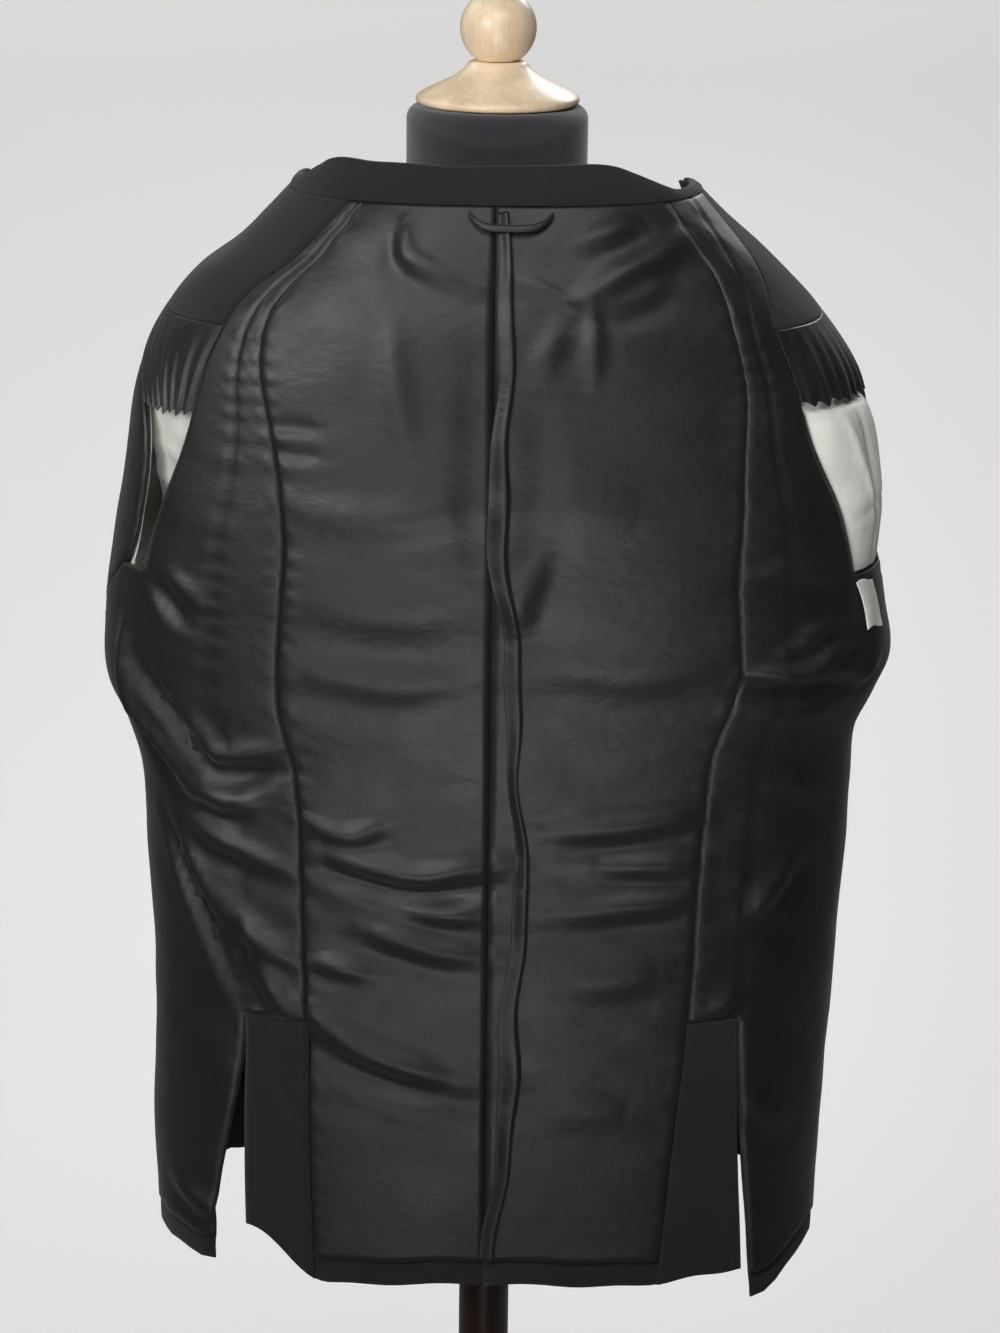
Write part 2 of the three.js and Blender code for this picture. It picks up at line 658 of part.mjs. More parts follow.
function makeTorso() {
  const around = 40;
  const cornerRadius = 9;
  const neckRows = [
    { z: neckTopZ, round: neckRadius - cornerRadius },
    { z: neckTopZ - 3, round: neckRadius - 3 },
    { z: neckTopZ - cornerRadius, round: neckRadius },
    { z: 1440, round: neckRadius },
  ];
  const rows = [...neckRows];
  const count = 24;
  const top = torso[0].z;
  for (let k = 0; k <= count; k += 1) rows.push({ z: mix(top, torsoBottomZ, (k / count) ** 1.35) });
  const ring = rows.map((row) =>
    Array.from({ length: around }, (_, i) => {
      const angle = (i / around) * 2 * Math.PI;
      const sine = Math.sin(angle);
      const cosine = Math.cos(angle);
      const wide = row.round ?? readTable(torso, "wide", row.z);
      const deep = row.round ?? readTable(torso, cosine > 0 ? "back" : "front", row.z);
      return new THREE.Vector3(wide * sine, -deep * cosine, row.z);
    }),
  );
  const triangles = [];
  for (let k = 0; k + 1 < ring.length; k += 1) {
    for (let i = 0; i < around; i += 1) {
      const next = (i + 1) % around;
      triangles.push([ring[k][i], ring[k + 1][i], ring[k + 1][next]]);
      triangles.push([ring[k][i], ring[k + 1][next], ring[k][next]]);
    }
  }
  const lid = (points, z, up) => {
    const middle = new THREE.Vector3(0, 0, z);
    points.forEach((point, i) => {
      const next = points[(i + 1) % points.length];
      triangles.push(up ? [middle, point, next] : [middle, next, point]);
    });
  };
  lid(ring[0], neckTopZ, true);
  lid(ring[ring.length - 1], torsoBottomZ, false);
  addPiece("form_torso", geometryOf(triangles), "jersey");
}

// A turned piece: its outline runs from the axis at the bottom to the axis at the top.
function turned(name, outline, look, sides) {
  const points = outline.map(([radius, z]) => new THREE.Vector2(radius, z));
  const geometry = new THREE.LatheGeometry(points, sides);
  geometry.rotateX(Math.PI / 2);
  addPiece(name, geometry, look);
}

function makeStand() {
  const capFoot = neckTopZ + fitGap;
  const capTop = knobZ - 22;
  turned(
    "neck_cap",
    [
      [0, capFoot],
      [capRadius - 2, capFoot],
      [capRadius, capFoot + 3],
      [capRadius - 1, capFoot + 7],
      [capRadius - 12, capFoot + 12],
      [capRadius - 25, capFoot + 18],
      [22, capTop - 3],
      [20, capTop],
      [0, capTop],
    ],
    "capWood",
    36,
  );
  const knob = [[0, capTop + fitGap]];
  for (let k = 0; k <= 8; k += 1) {
    const angle = mix(-50, 90, k / 8) * degree;
    knob.push([k === 8 ? 0 : knobRadius * Math.cos(angle), knobZ + knobRadius * Math.sin(angle)]);
  }
  knob[1] = [knobRadius * 0.62, capTop + fitGap];
  turned("cap_knob", knob, "capWood", 32);
  const poleTop = torsoBottomZ - fitGap;
  const poleFoot = baseHeight + fitGap;
  turned(
    "stand_pole",
    [
      [0, poleFoot],
      [poleRadius, poleFoot],
      [poleRadius, poleTop],
      [0, poleTop],
    ],
    "standWood",
    28,
  );
  turned(
    "stand_base",
    [
      [0, 0],
      [baseRadius - 4, 0],
      [baseRadius, 4],
      [baseRadius, 12],
      [baseRadius - 8, 18],
      [60, baseHeight],
      [0, baseHeight],
    ],
    "standWood",
    48,
  );
}

for (const side of ["left", "right"]) {
  makeLining(side);
  makeShell(side);
  makeSleeveHead(side);
  makeSleeve(side);
  makeLapel(side);
}
makePleat();
makeCollar();
makeHangerLoop();
makePouch();
makeTab();
makeButtons();
makeTorso();
makeStand();

export default object;
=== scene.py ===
import math

import bpy
import numpy as np
from mathutils import Matrix, Vector


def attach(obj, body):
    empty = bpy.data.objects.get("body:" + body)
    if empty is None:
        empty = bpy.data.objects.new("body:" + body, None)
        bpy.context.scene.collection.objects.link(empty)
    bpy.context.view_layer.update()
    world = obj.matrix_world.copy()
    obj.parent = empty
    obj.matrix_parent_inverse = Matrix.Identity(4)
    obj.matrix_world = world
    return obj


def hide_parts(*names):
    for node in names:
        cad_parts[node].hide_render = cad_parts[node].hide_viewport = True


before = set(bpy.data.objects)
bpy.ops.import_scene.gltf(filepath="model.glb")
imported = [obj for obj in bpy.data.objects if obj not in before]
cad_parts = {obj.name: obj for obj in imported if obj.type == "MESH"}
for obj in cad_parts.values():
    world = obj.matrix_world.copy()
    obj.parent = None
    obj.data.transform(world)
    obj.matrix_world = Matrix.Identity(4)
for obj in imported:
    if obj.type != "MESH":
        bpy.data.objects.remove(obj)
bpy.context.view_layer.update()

mm = 0.001
deg = math.pi / 180


# a list of rows, each with its values under the columns' names
def tableOf(columns, rows):
    return [dict(zip(columns.split(), row)) for row in rows]


# The jacket's cut, in millimetres and degrees from the centre back, as its solids have it.
jacket = dict(
    roundness=0.8, satin=0.9, wool=1.7, shellDepth=2.5, seamGap=0.17,
    levels=[1423, 1400, 1372, 1340, 1310, 1280, 1240, 1204, 1168, 1132, 1098, 1064,
            1030, 990, 948, 903, 855, 800, 745, 680, 662],
    shoulderRow=3, underarmRow=8, ventRow=16, liningHemRow=19, hemRow=20,
    fineColumns=10, fineRows=14, shellFine=(4, 6), shellHemDepth=1.3, wholeFolds=1.0, facingFolds=0.6,
    girthPerDegree=3.4, creaseGain=1.35, hemWaves=(1.4, 0.9),
    seamDip=1.0, seamDipWide=2.2, pucker=0.42, puckerAway=4, seamReach=3, collarRise=1.7, collarRiseRows=0.25,
)
# half-widths to the left and right, and depths to the back and front
sections = tableOf("z left right back front", [
    (1423, 141, 141, 92, 55), (1405, 158, 159, 101, 72), (1385, 178, 182, 108, 85),
    (1365, 205, 202, 114, 95), (1340, 226, 225, 121, 106), (1296, 246, 253, 127, 118),
    (1229, 257, 266, 134, 126), (1178, 266, 270, 136, 130), (1136, 272, 278, 134, 130),
    (1100, 274, 283, 131, 128), (1074, 271, 272, 129, 127), (1047, 258, 260, 127, 126),
    (1005, 248, 258, 126, 125), (929, 245, 255, 128, 125), (852, 241, 251, 132, 128),
    (748, 243, 245, 138, 132), (640, 240, 242, 142, 136)])
seamNames = ["sideBack", "vent", "armBack", "armFront", "facing", "front"]
seamRows = {
    "left": [
        (1423, 34, 36, 39, 92, 102, 118), (1372, 38, 42, 47, 98, 110, 138),
        (1340, 38, 43, 49, 98, 114, 146), (1272, 31, 39, 51, 70, 124, 156),
        (1204, 27, 40, 58, 66, 131, 161), (1168, 26.5, 40, 60, 70, 134, 163),
        (1105, 26.5, 40, 62, 98, 137, 165), (855, 26, 40, 62, 102, 143, 166),
        (640, 24.5, 40, 62, 102, 145, 166),
    ],
    "right": [
        (1423, 50, 66, 82, 96, 104, 118), (1372, 46, 54, 64, 98, 110, 138),
        (1340, 41, 46, 53, 98, 114, 146), (1272, 36, 42, 51, 84, 124, 156),
        (1204, 34, 44, 61, 84, 131, 161), (1168, 33, 44, 64, 88, 134, 163),
        (1105, 32, 42, 64, 98, 137, 165), (965, 29.5, 40, 63, 102, 141, 166),
        (855, 29, 40, 62, 102, 143, 166), (640, 25, 46, 64, 102, 145, 166),
    ],
}
seams = {side: tableOf(" ".join(["z"] + seamNames), rows) for side, rows in seamRows.items()}
spanCells = dict(sideBack=5, vent=1, armBack=1, armFront=2, facing=3, front=2)
columnOf = {"centre": 0}
for before, after in zip(["centre"] + seamNames, seamNames):
    columnOf[after] = columnOf[before] + spanCells[after]
signOf = {"left": -1, "right": 1}

# Creases of the back, in millimetres: the two or three places (x, z) that each runs through, its
# half-width, and its height, which is negative for a trough.
backFolds = [
    ([(52, 1400), (93, 1414)], 6, 2.2),
    ([(48, 1361), (86, 1383), (126, 1405)], 7, 3.4),
    ([(66, 1356), (114, 1377)], 6, 2.4),
    ([(14, 1381), (54, 1360)], 5, 2.0),
    ([(42, 1348), (28, 1314)], 5, 1.8),
    ([(64, 1365), (65, 1310)], 4, 2.0),
    ([(-61, 1412), (-58, 1391), (-12, 1372)], 6, 3.0),
    ([(-67, 1350), (-57, 1262)], 7, 1.8),
    ([(-150, 1279), (-116, 1277)], 5, -1.6),
    ([(-148, 1261), (-114, 1259)], 5, -1.4),
    ([(-138, 1224), (-70, 1218), (-14, 1226)], 12, 2.2),
    ([(-132, 1158), (-60, 1152), (-8, 1160)], 14, 2.0),
    ([(-134, 1112), (-70, 1102), (-12, 1108)], 11, 2.2),
    ([(-229, 1162), (-209, 1134)], 5, -3.0),
    ([(-221, 1172), (-196, 1150)], 6, 2.6),
    ([(-252, 1128), (-250, 1072), (-206, 1012)], 9, 7.5),
    ([(-206, 1013), (-163, 1009)], 8, 5.0),
    ([(-243, 1104), (-219, 1066), (-195, 1034)], 8, -6.0),
    ([(-214, 1076), (-188, 1041), (-141, 1054)], 8, 5.0),
    ([(-184, 1024), (-150, 1034)], 8, -4.0),
    ([(-209, 990), (-137, 964)], 8, 4.0),
    ([(-219, 982), (-175, 921), (-130, 894)], 9, 5.0),
    ([(-205, 968), (-165, 905)], 7, -3.0),
    ([(-169, 912), (-131, 846)], 8, 4.2),
    ([(-229, 990), (-202, 930), (-171, 860)], 6, -4.0),
    ([(-147, 811), (-129, 779)], 4, 2.4),
    ([(-223, 716), (-186, 700)], 8, 3.4),
    ([(-128, 1001), (-95, 991), (-70, 1004)], 7, 3.4),
    ([(-119, 981), (-46, 963), (7, 975)], 8, 5.0),
    ([(-110, 966), (-44, 948), (4, 958)], 7, -3.4),
    ([(-58, 949), (5, 931)], 7, 3.4),
    ([(-86, 926), (5, 904)], 8, 4.2),
    ([(-124, 901), (-79, 892)], 6, 2.8),
    ([(-128, 866), (-91, 836), (-16, 815)], 10, 6.0),
    ([(-120, 850), (-84, 822), (-20, 800)], 8, -3.0),
    ([(36, 997), (90, 1001), (149, 1010)], 9, 4.2),
    ([(72, 974), (148, 971)], 8, 3.6),
    ([(42, 937), (96, 944), (147, 946)], 9, 4.0),
    ([(50, 886), (120, 894)], 12, 2.2),
    ([(28, 1120), (96, 1110), (158, 1122)], 13, 2.0),
    ([(24, 1230), (100, 1220)], 15, 1.6),
    ([(30, 800), (100, 790)], 14, 2.0),
    ([(176, 1181), (204, 1181), (238, 1170)], 6, 3.2),
    ([(201, 1124), (236, 1141)], 6, 3.6),
    ([(222, 1111), (248, 1126)], 5, 3.0),
    ([(174, 1111), (208, 1106), (244, 1106)], 7, 5.6),
    ([(178, 1094), (212, 1088), (246, 1090)], 7, -3.6),
    ([(241, 1109), (259, 1096), (270, 1108)], 6, 3.0),
    ([(179, 925), (214, 971)], 9, 4.2),
    ([(156, 864), (180, 874)], 6, 2.8),
    ([(200, 1030), (232, 1010)], 9, 2.6),
    ([(18, 1144), (20, 1166), (37, 1203)], 5, 3.0),
    ([(30, 1290), (34, 1120)], 8, -1.8),
    ([(-12, 1330), (-10, 1180)], 6, -1.8),
    ([(186, 790), (214, 770)], 10, 2.4),
]
# Similar creases on the sides and fronts, which the camera doesn't see, with places as (angle, z).
frontFolds = {
    "left": [
        ([(92, 1120), (112, 1075)], 9, 4.5),
        ([(100, 1060), (124, 1030)], 8, 3.6),
        ([(94, 1010), (128, 985), (140, 990)], 9, 4.0),
        ([(110, 930), (132, 905)], 8, 3.0),
        ([(90, 880), (116, 830)], 9, 3.4),
        ([(104, 1230), (120, 1180)], 8, 2.6),
        ([(118, 780), (130, 720)], 10, 2.4),
    ],
    "right": [
        ([(96, 1105), (116, 1062)], 8, 4.0),
        ([(104, 1040), (136, 1018)], 9, 4.2),
        ([(96, 985), (120, 965)], 7, 2.8),
        ([(106, 920), (126, 870)], 9, 3.4),
        ([(100, 1250), (118, 1205)], 8, 2.8),
        ([(92, 830), (112, 760)], 10, 3.0),
    ],
}


# an even step from 0 to 1, flat at both ends: 3t^2 - 2t^3
def smooth(t):
    t = np.clip(t, 0, 1)
    return t * t * (3 - 2 * t)


# the value that lies at a share of the way from a pair's first to its second
def between(pair, share):
    return pair[0] + (pair[1] - pair[0]) * share


# cubic through the table's rows, which run downwards; each slope comes from the rows on both sides
def readTable(table, column, z):
    levels = np.array([row["z"] for row in table], float)
    values = np.array([row[column] for row in table], float)
    last = len(levels) - 1
    here = np.arange(last + 1)
    up, down = np.maximum(here - 1, 0), np.minimum(here + 1, last)
    slopes = (values[down] - values[up]) / (levels[down] - levels[up])
    z = np.asarray(z, float)
    k = np.clip(np.searchsorted(-levels, -z) - 1, 0, last - 1)
    step = levels[k + 1] - levels[k]
    t = np.clip((z - levels[k]) / step, 0, 1)
    rise = t * t * (3 - 2 * t)
    return (values[k] * (1 - rise) + values[k + 1] * rise
            + step * t * (1 - t) * ((1 - t) * slopes[k] - t * slopes[k + 1]))


# a squared ellipse in each level cut: x is half-width * sin^p, y is -depth * cos^p
def plainPoint(side, angle, z):
    angle, z = np.broadcast_arrays(np.asarray(angle, float), np.asarray(z, float))
    cosine, sine = np.cos(angle * deg), np.sin(angle * deg)
    deep = np.where(cosine > 0, readTable(sections, "back", z), readTable(sections, "front", z))
    p = jacket["roundness"]
    x = signOf[side] * readTable(sections, side, z) * np.abs(sine) ** p
    return np.stack([x, -np.sign(cosine) * deep * np.abs(cosine) ** p, z], axis=-1)


# the way along the plain face, over one degree
def plainAcross(side, angle, z):
    return plainPoint(side, np.minimum(180, angle + 0.5), z) - plainPoint(side, np.maximum(0, angle - 0.5), z)


# the plain face's outward normal, from its ways across and down
def plainNormal(side, angle, z):
    angle, z = np.broadcast_arrays(np.asarray(angle, float), np.asarray(z, float))
    across = plainAcross(side, angle, z)
    down = plainPoint(side, angle, z - 2) - plainPoint(side, angle, z + 2)
    normal = np.cross(across, down) * -signOf[side]
    return normal / np.linalg.norm(normal, axis=-1, keepdims=True)


# the angle at which the plain face stands x from the centre
def angleAtX(side, x, z):
    share = np.clip(np.abs(x) / readTable(sections, side, z), 0, 1)
    return np.arcsin(share ** (1 / jacket["roundness"])) / deg


creaseShape = dict(steps=24, rounding=6, tip=0.04, fade=0.6, thin=0.6, swell=0.5, troughAway=1.9, trough=0.4)


# a Gaussian ridge along a smooth curve through its places, thinning toward its ends,
# with a shallow trough on its lower side
def creaseHeight(way, wide, high, across, z):
    places = np.array(way, float)
    steps = np.linspace(0, len(places) - 1, creaseShape["steps"])
    spine = np.stack([np.interp(steps, np.arange(len(places)), places[:, k]) for k in (0, 1)], axis=-1)
    kernel = np.array([0.25, 0.5, 0.25])
    for _ in range(creaseShape["rounding"]):  # rounds the corner at the middle place
        spine[1:-1] = spine[:-2] * kernel[0] + spine[1:-1] * kernel[1] + spine[2:] * kernel[2]
    best = np.full(across.shape, 1e9)
    along = np.zeros(across.shape)
    below = np.zeros(across.shape)
    for k in range(len(spine) - 1):
        a, b = spine[k], spine[k + 1]
        d = b - a
        t = np.clip(((across - a[0]) * d[0] + (z - a[1]) * d[1]) / (d @ d), 0, 1)
        gap = np.hypot(across - a[0] - t * d[0], z - a[1] - t * d[1])
        nearer = gap < best
        best = np.where(nearer, gap, best)
        along = np.where(nearer, (k + t) / (len(spine) - 1), along)
        below = np.where(nearer, a[1] + t * d[1] - z, below)
    tip = creaseShape["tip"]
    fade = np.sin(np.pi * np.clip(along, tip, 1 - tip)) ** creaseShape["fade"]
    ridge = np.exp(-(best / (wide * (creaseShape["thin"] + creaseShape["swell"] * fade))) ** 2)
    trough = np.exp(-((best - creaseShape["troughAway"] * wide) / wide) ** 2) * smooth(below / wide)
    return jacket["creaseGain"] * high * fade * (ridge - creaseShape["trough"] * trough)


# Heights in millimetres of the faint waves, and where the low crumple fades out.
crumpling = dict(slow=0.55, slanted=0.35, tight=0.22, wrinkle=0.65, ripple=0.3,
                 top=1090, topFade=90, foot=700, footFade=120, reach=185, reachFade=60)


# all the creases near this side's cloth, and a faint unevenness from a few slow waves
def foldHeight(side, angle, z):
    angle, z = np.broadcast_arrays(np.asarray(angle, float), np.asarray(z, float))
    girth = jacket["girthPerDegree"]
    across = signOf[side] * angle * girth
    total = np.zeros(angle.shape)
    for places, wide, high in backFolds:
        way = []
        for x, level in places:
            own = "left" if x < 0 else "right"
            way.append((signOf[own] * float(angleAtX(own, x, level)) * girth, level))
        total += creaseHeight(way, wide, high, across, z)
    for places, wide, high in frontFolds[side]:
        way = [(signOf[side] * a * girth, level) for a, level in places]
        total += creaseHeight(way, wide, high, across, z)
    # each divisor is a wave's length over a full turn, in millimetres
    waves = (crumpling["slow"] * np.sin(across / 31 + z / 57 + 1.3) * np.sin(z / 23 - across / 90)
             + crumpling["slanted"] * np.sin(across / 17 - z / 41) * np.sin(z / 37 + across / 60 + 0.8)
             + crumpling["tight"] * np.sin(z / 8.5 + 2.2 * np.sin(across / 33))
             * np.sin(across / 22 + z / 75))
    low = (smooth((crumpling["top"] - z) / crumpling["topFade"])
           * smooth((z - crumpling["foot"]) / crumpling["footFade"]))
    low = low * smooth((crumpling["reach"] - np.abs(across)) / crumpling["reachFade"])
    crumple = low * (crumpling["wrinkle"] * np.sin(z / 11 + 1.7 * np.sin(across / 27 + 0.4) + across / 48)
                     * smooth(0.5 + np.sin(across / 21 - z / 33 + 0.7))
                     + crumpling["ripple"] * np.sin(z / 6.3 + 2.4 * np.sin(across / 19 + z / 90))
                     * np.sin(across / 26 - z / 29))
    return total + waves + crumple


# the angle of a grid column: even steps between each seam and the next
def columnAngle(side, column, z):
    angle = np.zeros(np.broadcast(column, z).shape)
    low = 0 * z
    for before, after in zip(["centre"] + seamNames, seamNames):
        high = readTable(seams[side], after, z)
        t = (column - columnOf[before]) / spanCells[after]
        angle = np.where(column >= columnOf[before], low + (high - low) * t, angle)
        low = high
    return angle


# how far the hem of a panel is pulled up, in millimetres, as far as the vents part it
def hemShift(side, panel, angle):
    if (side, panel) == ("left", "back"):
        return 34 * smooth((angle - 22) / 18)
    if (side, panel) == ("right", "side"):
        return -24 * smooth((75 - angle) / 30)
    return (2 if side == "left" else 0) + 0 * angle


ventGape = {"left": (9, 3), "right": (3, 2.5)}  # degrees sideways and millimetres out, at the hem
ventReach = 3  # columns over which the gape fades


# a place of the jacket's grid of columns and rows, lifted along the plain face's normal
def panelPoint(side, panel, column, row, out, folds):
    levels = jacket["levels"]
    level = np.interp(row, np.arange(len(levels)), levels)
    vent, hem = levels[jacket["ventRow"]], levels[jacket["hemRow"]]
    below = smooth((vent - level) / (vent - hem))
    angle = columnAngle(side, column, level)
    lift = out + 0 * angle
    if panel == "side":
        near = np.clip(1 - (column - columnOf["vent"]) / ventReach, 0, 1)
        angle = angle + ventGape[side][0] * below * near
        lift = lift + ventGape[side][1] * below * near
    long, short = jacket["hemWaves"]
    wave = long * np.sin(angle / 5.2 + 0.8) + short * np.sin(angle / 2.3)
    z = level + (hemShift(side, panel, angle) + wave * below) * below
    if folds:
        lift = lift + folds * foldHeight(side, angle, z)
    points = plainPoint(side, angle, z) + plainNormal(side, angle, z) * lift[..., None]
    return points, angle, z


print("tables ready")


# A node's output socket, wrapped so that sums and products of values add Math nodes.
class Shade:
    def __init__(self, tree, socket):
        self.tree = tree
        self.socket = socket

    def math(self, operation, other):
        node = self.tree.nodes.new("ShaderNodeMath")
        node.operation = operation
        for slot, value in zip(node.inputs, (self, other)):
            if isinstance(value, Shade):
                self.tree.links.new(value.socket, slot)
            else:
                slot.default_value = value
        return Shade(self.tree, node.outputs[0])

    def __add__(self, other):
        return self.math("ADD", other)

    def __mul__(self, other):
        return self.math("MULTIPLY", other)


# A node tree being built. Its node method adds any node from its type, settings and inputs.
class Recipe:
    def __init__(self, tree):
        self.tree = tree

    def node(self, kind, settings, inputs, output=0):
        node = self.tree.nodes.new(kind)
        for name, value in settings.items():
            setattr(node, name, value)
        for slot, value in inputs.items():
            if isinstance(value, Shade):
                self.tree.links.new(value.socket, node.inputs[slot])
            else:
                node.inputs[slot].default_value = value
        return Shade(self.tree, node.outputs[output])

    # colours a and b by the factor, either of them a colour or a socket
    def blend(self, factor, a, b):
        wide = {slot: value if isinstance(value, Shade) else (*value, 1) for slot, value in ((6, a), (7, b))}
        return self.node("ShaderNodeMix", {"data_type": "RGBA"}, {0: factor, **wide}, 2)

    def remap(self, value, low, high, newLow=0.0, newHigh=1.0):
        return self.node("ShaderNodeMapRange", {}, {
            "Value": value, "From Min": low, "From Max": high, "To Min": newLow, "To Max": newHigh})


# A material's tree: patterns in Object coordinates that feed its Principled shader.
class Finish(Recipe):
    def __init__(self, name):
        self.material = bpy.data.materials.new(name)
        self.material.use_nodes = True
        super().__init__(self.material.node_tree)
        self.shader = self.tree.nodes["Principled BSDF"]
        self.place = self.node("ShaderNodeTexCoord", {}, {}, "Object")

    def stretch(self, scale, turn=(0, 0, 0)):
        return self.node("ShaderNodeMapping", {}, {"Vector": self.place, "Scale": scale, "Rotation": turn})

    def noise(self, scale, detail=3.0, rough=0.55, at=None):
        return self.node("ShaderNodeTexNoise", {}, {
            "Vector": at or self.place, "Scale": scale, "Detail": detail, "Roughness": rough}, "Fac")

    def wave(self, scale, distortion=0.0, at=None, direction="Z"):
        return self.node("ShaderNodeTexWave", {"wave_type": "BANDS", "bands_direction": direction}, {
            "Vector": at or self.place, "Scale": scale, "Distortion": distortion, "Detail": 1.0}, "Fac")

    def bump(self, height, strength, distance, under=None):
        inputs = {"Height": height, "Strength": strength, "Distance": distance}
        if under:
            inputs["Normal"] = under
        return self.node("ShaderNodeBump", {}, inputs, "Normal")

    def feed(self, **sockets):
        for name, value in sockets.items():
            slot = self.shader.inputs[name.replace("_", " ")]
            if isinstance(value, Shade):
                self.tree.links.new(value.socket, slot)
            else:
                slot.default_value = value
        return self.material


# dark lining satin: a fine upright rib, a soft gloss and faint rubbed patches
def makeSatin():
    f = Finish("liningSatin")
    weave = f.wave(1400, 0.6, direction="X") * 0.5 + f.wave(1700, 0.6, direction="Z") * 0.5
    cloud = f.remap(f.noise(9, 4), 0.35, 0.7)
    fineCrush = f.noise(70, 5, 0.6, f.stretch((1, 1, 1.6)))
    colour = f.blend(cloud, (0.0048, 0.0042, 0.0044), (0.0090, 0.0080, 0.0082))
    normal = f.bump(fineCrush, 0.16, 0.004, f.bump(weave, 0.05, 0.0004))
    rough = f.remap(f.noise(26, 3), 0.3, 0.7, 0.46, 0.55)
    return f.feed(Base_Color=colour, Roughness=rough, Normal=normal, Sheen_Weight=0.1,
                  Sheen_Roughness=0.45, Specular_IOR_Level=0.55)


# matte suiting: a fine diagonal twill, a flecked yarn and a slight nap
def makeWool(name, dark, light):
    f = Finish(name)
    turned = f.stretch((1, 1, 1), (0, 0.9, 0))
    twill = f.wave(1100, 0.8, turned, "X")
    fleck = f.noise(900, 2, 0.7)
    cloud = f.noise(14, 4)
    mask = f.remap(fleck * 0.6 + cloud * 0.4, 0.38, 0.62)
    colour = f.blend(mask, dark, light)
    normal = f.bump(fleck, 0.3, 0.0006, f.bump(twill, 0.22, 0.0004, f.bump(cloud, 0.12, 0.004)))
    return f.feed(Base_Color=colour, Roughness=f.remap(cloud, 0.3, 0.7, 0.86, 0.95), Normal=normal,
                  Sheen_Weight=0.12, Sheen_Roughness=0.6, Specular_IOR_Level=0.25)


# off-white sleeve lining with soft creases
def makeWhite():
    f = Finish("sleeveLiningWhite")
    cloud = f.noise(24, 4)
    crush = f.noise(90, 4, 0.6, f.stretch((1, 1, 0.5)))
    colour = f.blend(f.remap(cloud, 0.35, 0.65), (0.62, 0.61, 0.56), (0.78, 0.77, 0.72))
    normal = f.bump(crush, 0.3, 0.003, f.bump(f.wave(1500, 0.5, direction="X"), 0.06, 0.0003))
    return f.feed(Base_Color=colour, Roughness=f.remap(cloud, 0.3, 0.7, 0.5, 0.64), Normal=normal,
                  Sheen_Weight=0.2)


# fine upright and level ribs of knit, with lint
def makeJersey():
    f = Finish("formJersey")
    knit = f.wave(1000, 0.4, direction="X") * 0.6 + f.wave(700, 0.3, direction="Z") * 0.4
    lint = f.noise(500, 2, 0.7)
    colour = f.blend(f.remap(lint, 0.45, 0.7), (0.010, 0.0095, 0.012), (0.022, 0.021, 0.025))
    normal = f.bump(knit, 0.25, 0.0005)
    return f.feed(Base_Color=colour, Roughness=f.remap(lint, 0.3, 0.7, 0.85, 0.97), Normal=normal,
                  Sheen_Weight=0.5, Sheen_Roughness=0.5)


# turned wood: long streaks along the axis, broken by fine pores
def makeWood(name, dark, light, roughness, coat, grain):
    f = Finish(name)
    at = f.stretch((14, 14, grain))
    streak = f.noise(3.2, 6, 0.6, at)
    pores = f.noise(60, 3, 0.6, f.stretch((6, 6, 0.5)))
    mask = f.remap(streak * 0.75 + pores * 0.25, 0.36, 0.66)
    colour = f.blend(mask, dark, light)
    normal = f.bump(pores, 0.08, 0.0006)
    return f.feed(Base_Color=colour, Roughness=f.remap(streak, 0.3, 0.7, roughness, roughness + 0.12),
                  Normal=normal, Coat_Weight=coat, Coat_Roughness=0.2)


# dark horn with a pale swirl
def makeHorn():
    f = Finish("hornButton")
    swirl = f.noise(120, 4, 0.6, f.stretch((1, 3, 1)))
    colour = f.blend(f.remap(swirl, 0.4, 0.65), (0.012, 0.010, 0.010), (0.05, 0.04, 0.032))
    return f.feed(Base_Color=colour, Roughness=f.remap(swirl, 0.3, 0.7, 0.28, 0.42),
                  Normal=f.bump(swirl, 0.06, 0.0005))


finishes = {
    "lining_satin": makeSatin(),
    "suit_wool": makeWool("suitWool", (0.0065, 0.0062, 0.0072), (0.0145, 0.0138, 0.0155)),
    "sleeve_lining_white": makeWhite(),
    "form_jersey": makeJersey(),
    "cap_wood": makeWood("capWood", (0.66, 0.47, 0.29), (0.88, 0.72, 0.52), 0.38, 0.25, 1.2),
    "stand_wood": makeWood("standWood", (0.018, 0.006, 0.004), (0.060, 0.020, 0.011), 0.3, 0.5, 0.8),
    "button": makeHorn(),
}
print("finishes ready")


# puts a surface into the scene in metres, facing out, riding on the one body
def addMesh(name, points, faces, slot):
    points = np.asarray(points, float).reshape(-1, 3)
    faces = np.asarray(faces, int)
    corners = points[faces]
    volume = sum(np.einsum("ij,ij->i", corners[:, 0], np.cross(corners[:, a], corners[:, a + 1])).sum()
                 for a in (1, 2))
    if volume < 0:
        faces = faces[:, ::-1]
    used, order = np.unique(faces, return_inverse=True)
    mesh = bpy.data.meshes.new(name)
    mesh.from_pydata((points[used] * mm).tolist(), [], order.reshape(faces.shape).tolist())
    mesh.polygons.foreach_set("use_smooth", np.ones(len(mesh.polygons), bool))
    mesh.materials.append(finishes[slot])
    piece = bpy.data.objects.new(name + "_made", mesh)
    bpy.context.scene.collection.objects.link(piece)
    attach(piece, "root")
    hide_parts(name)
    return piece


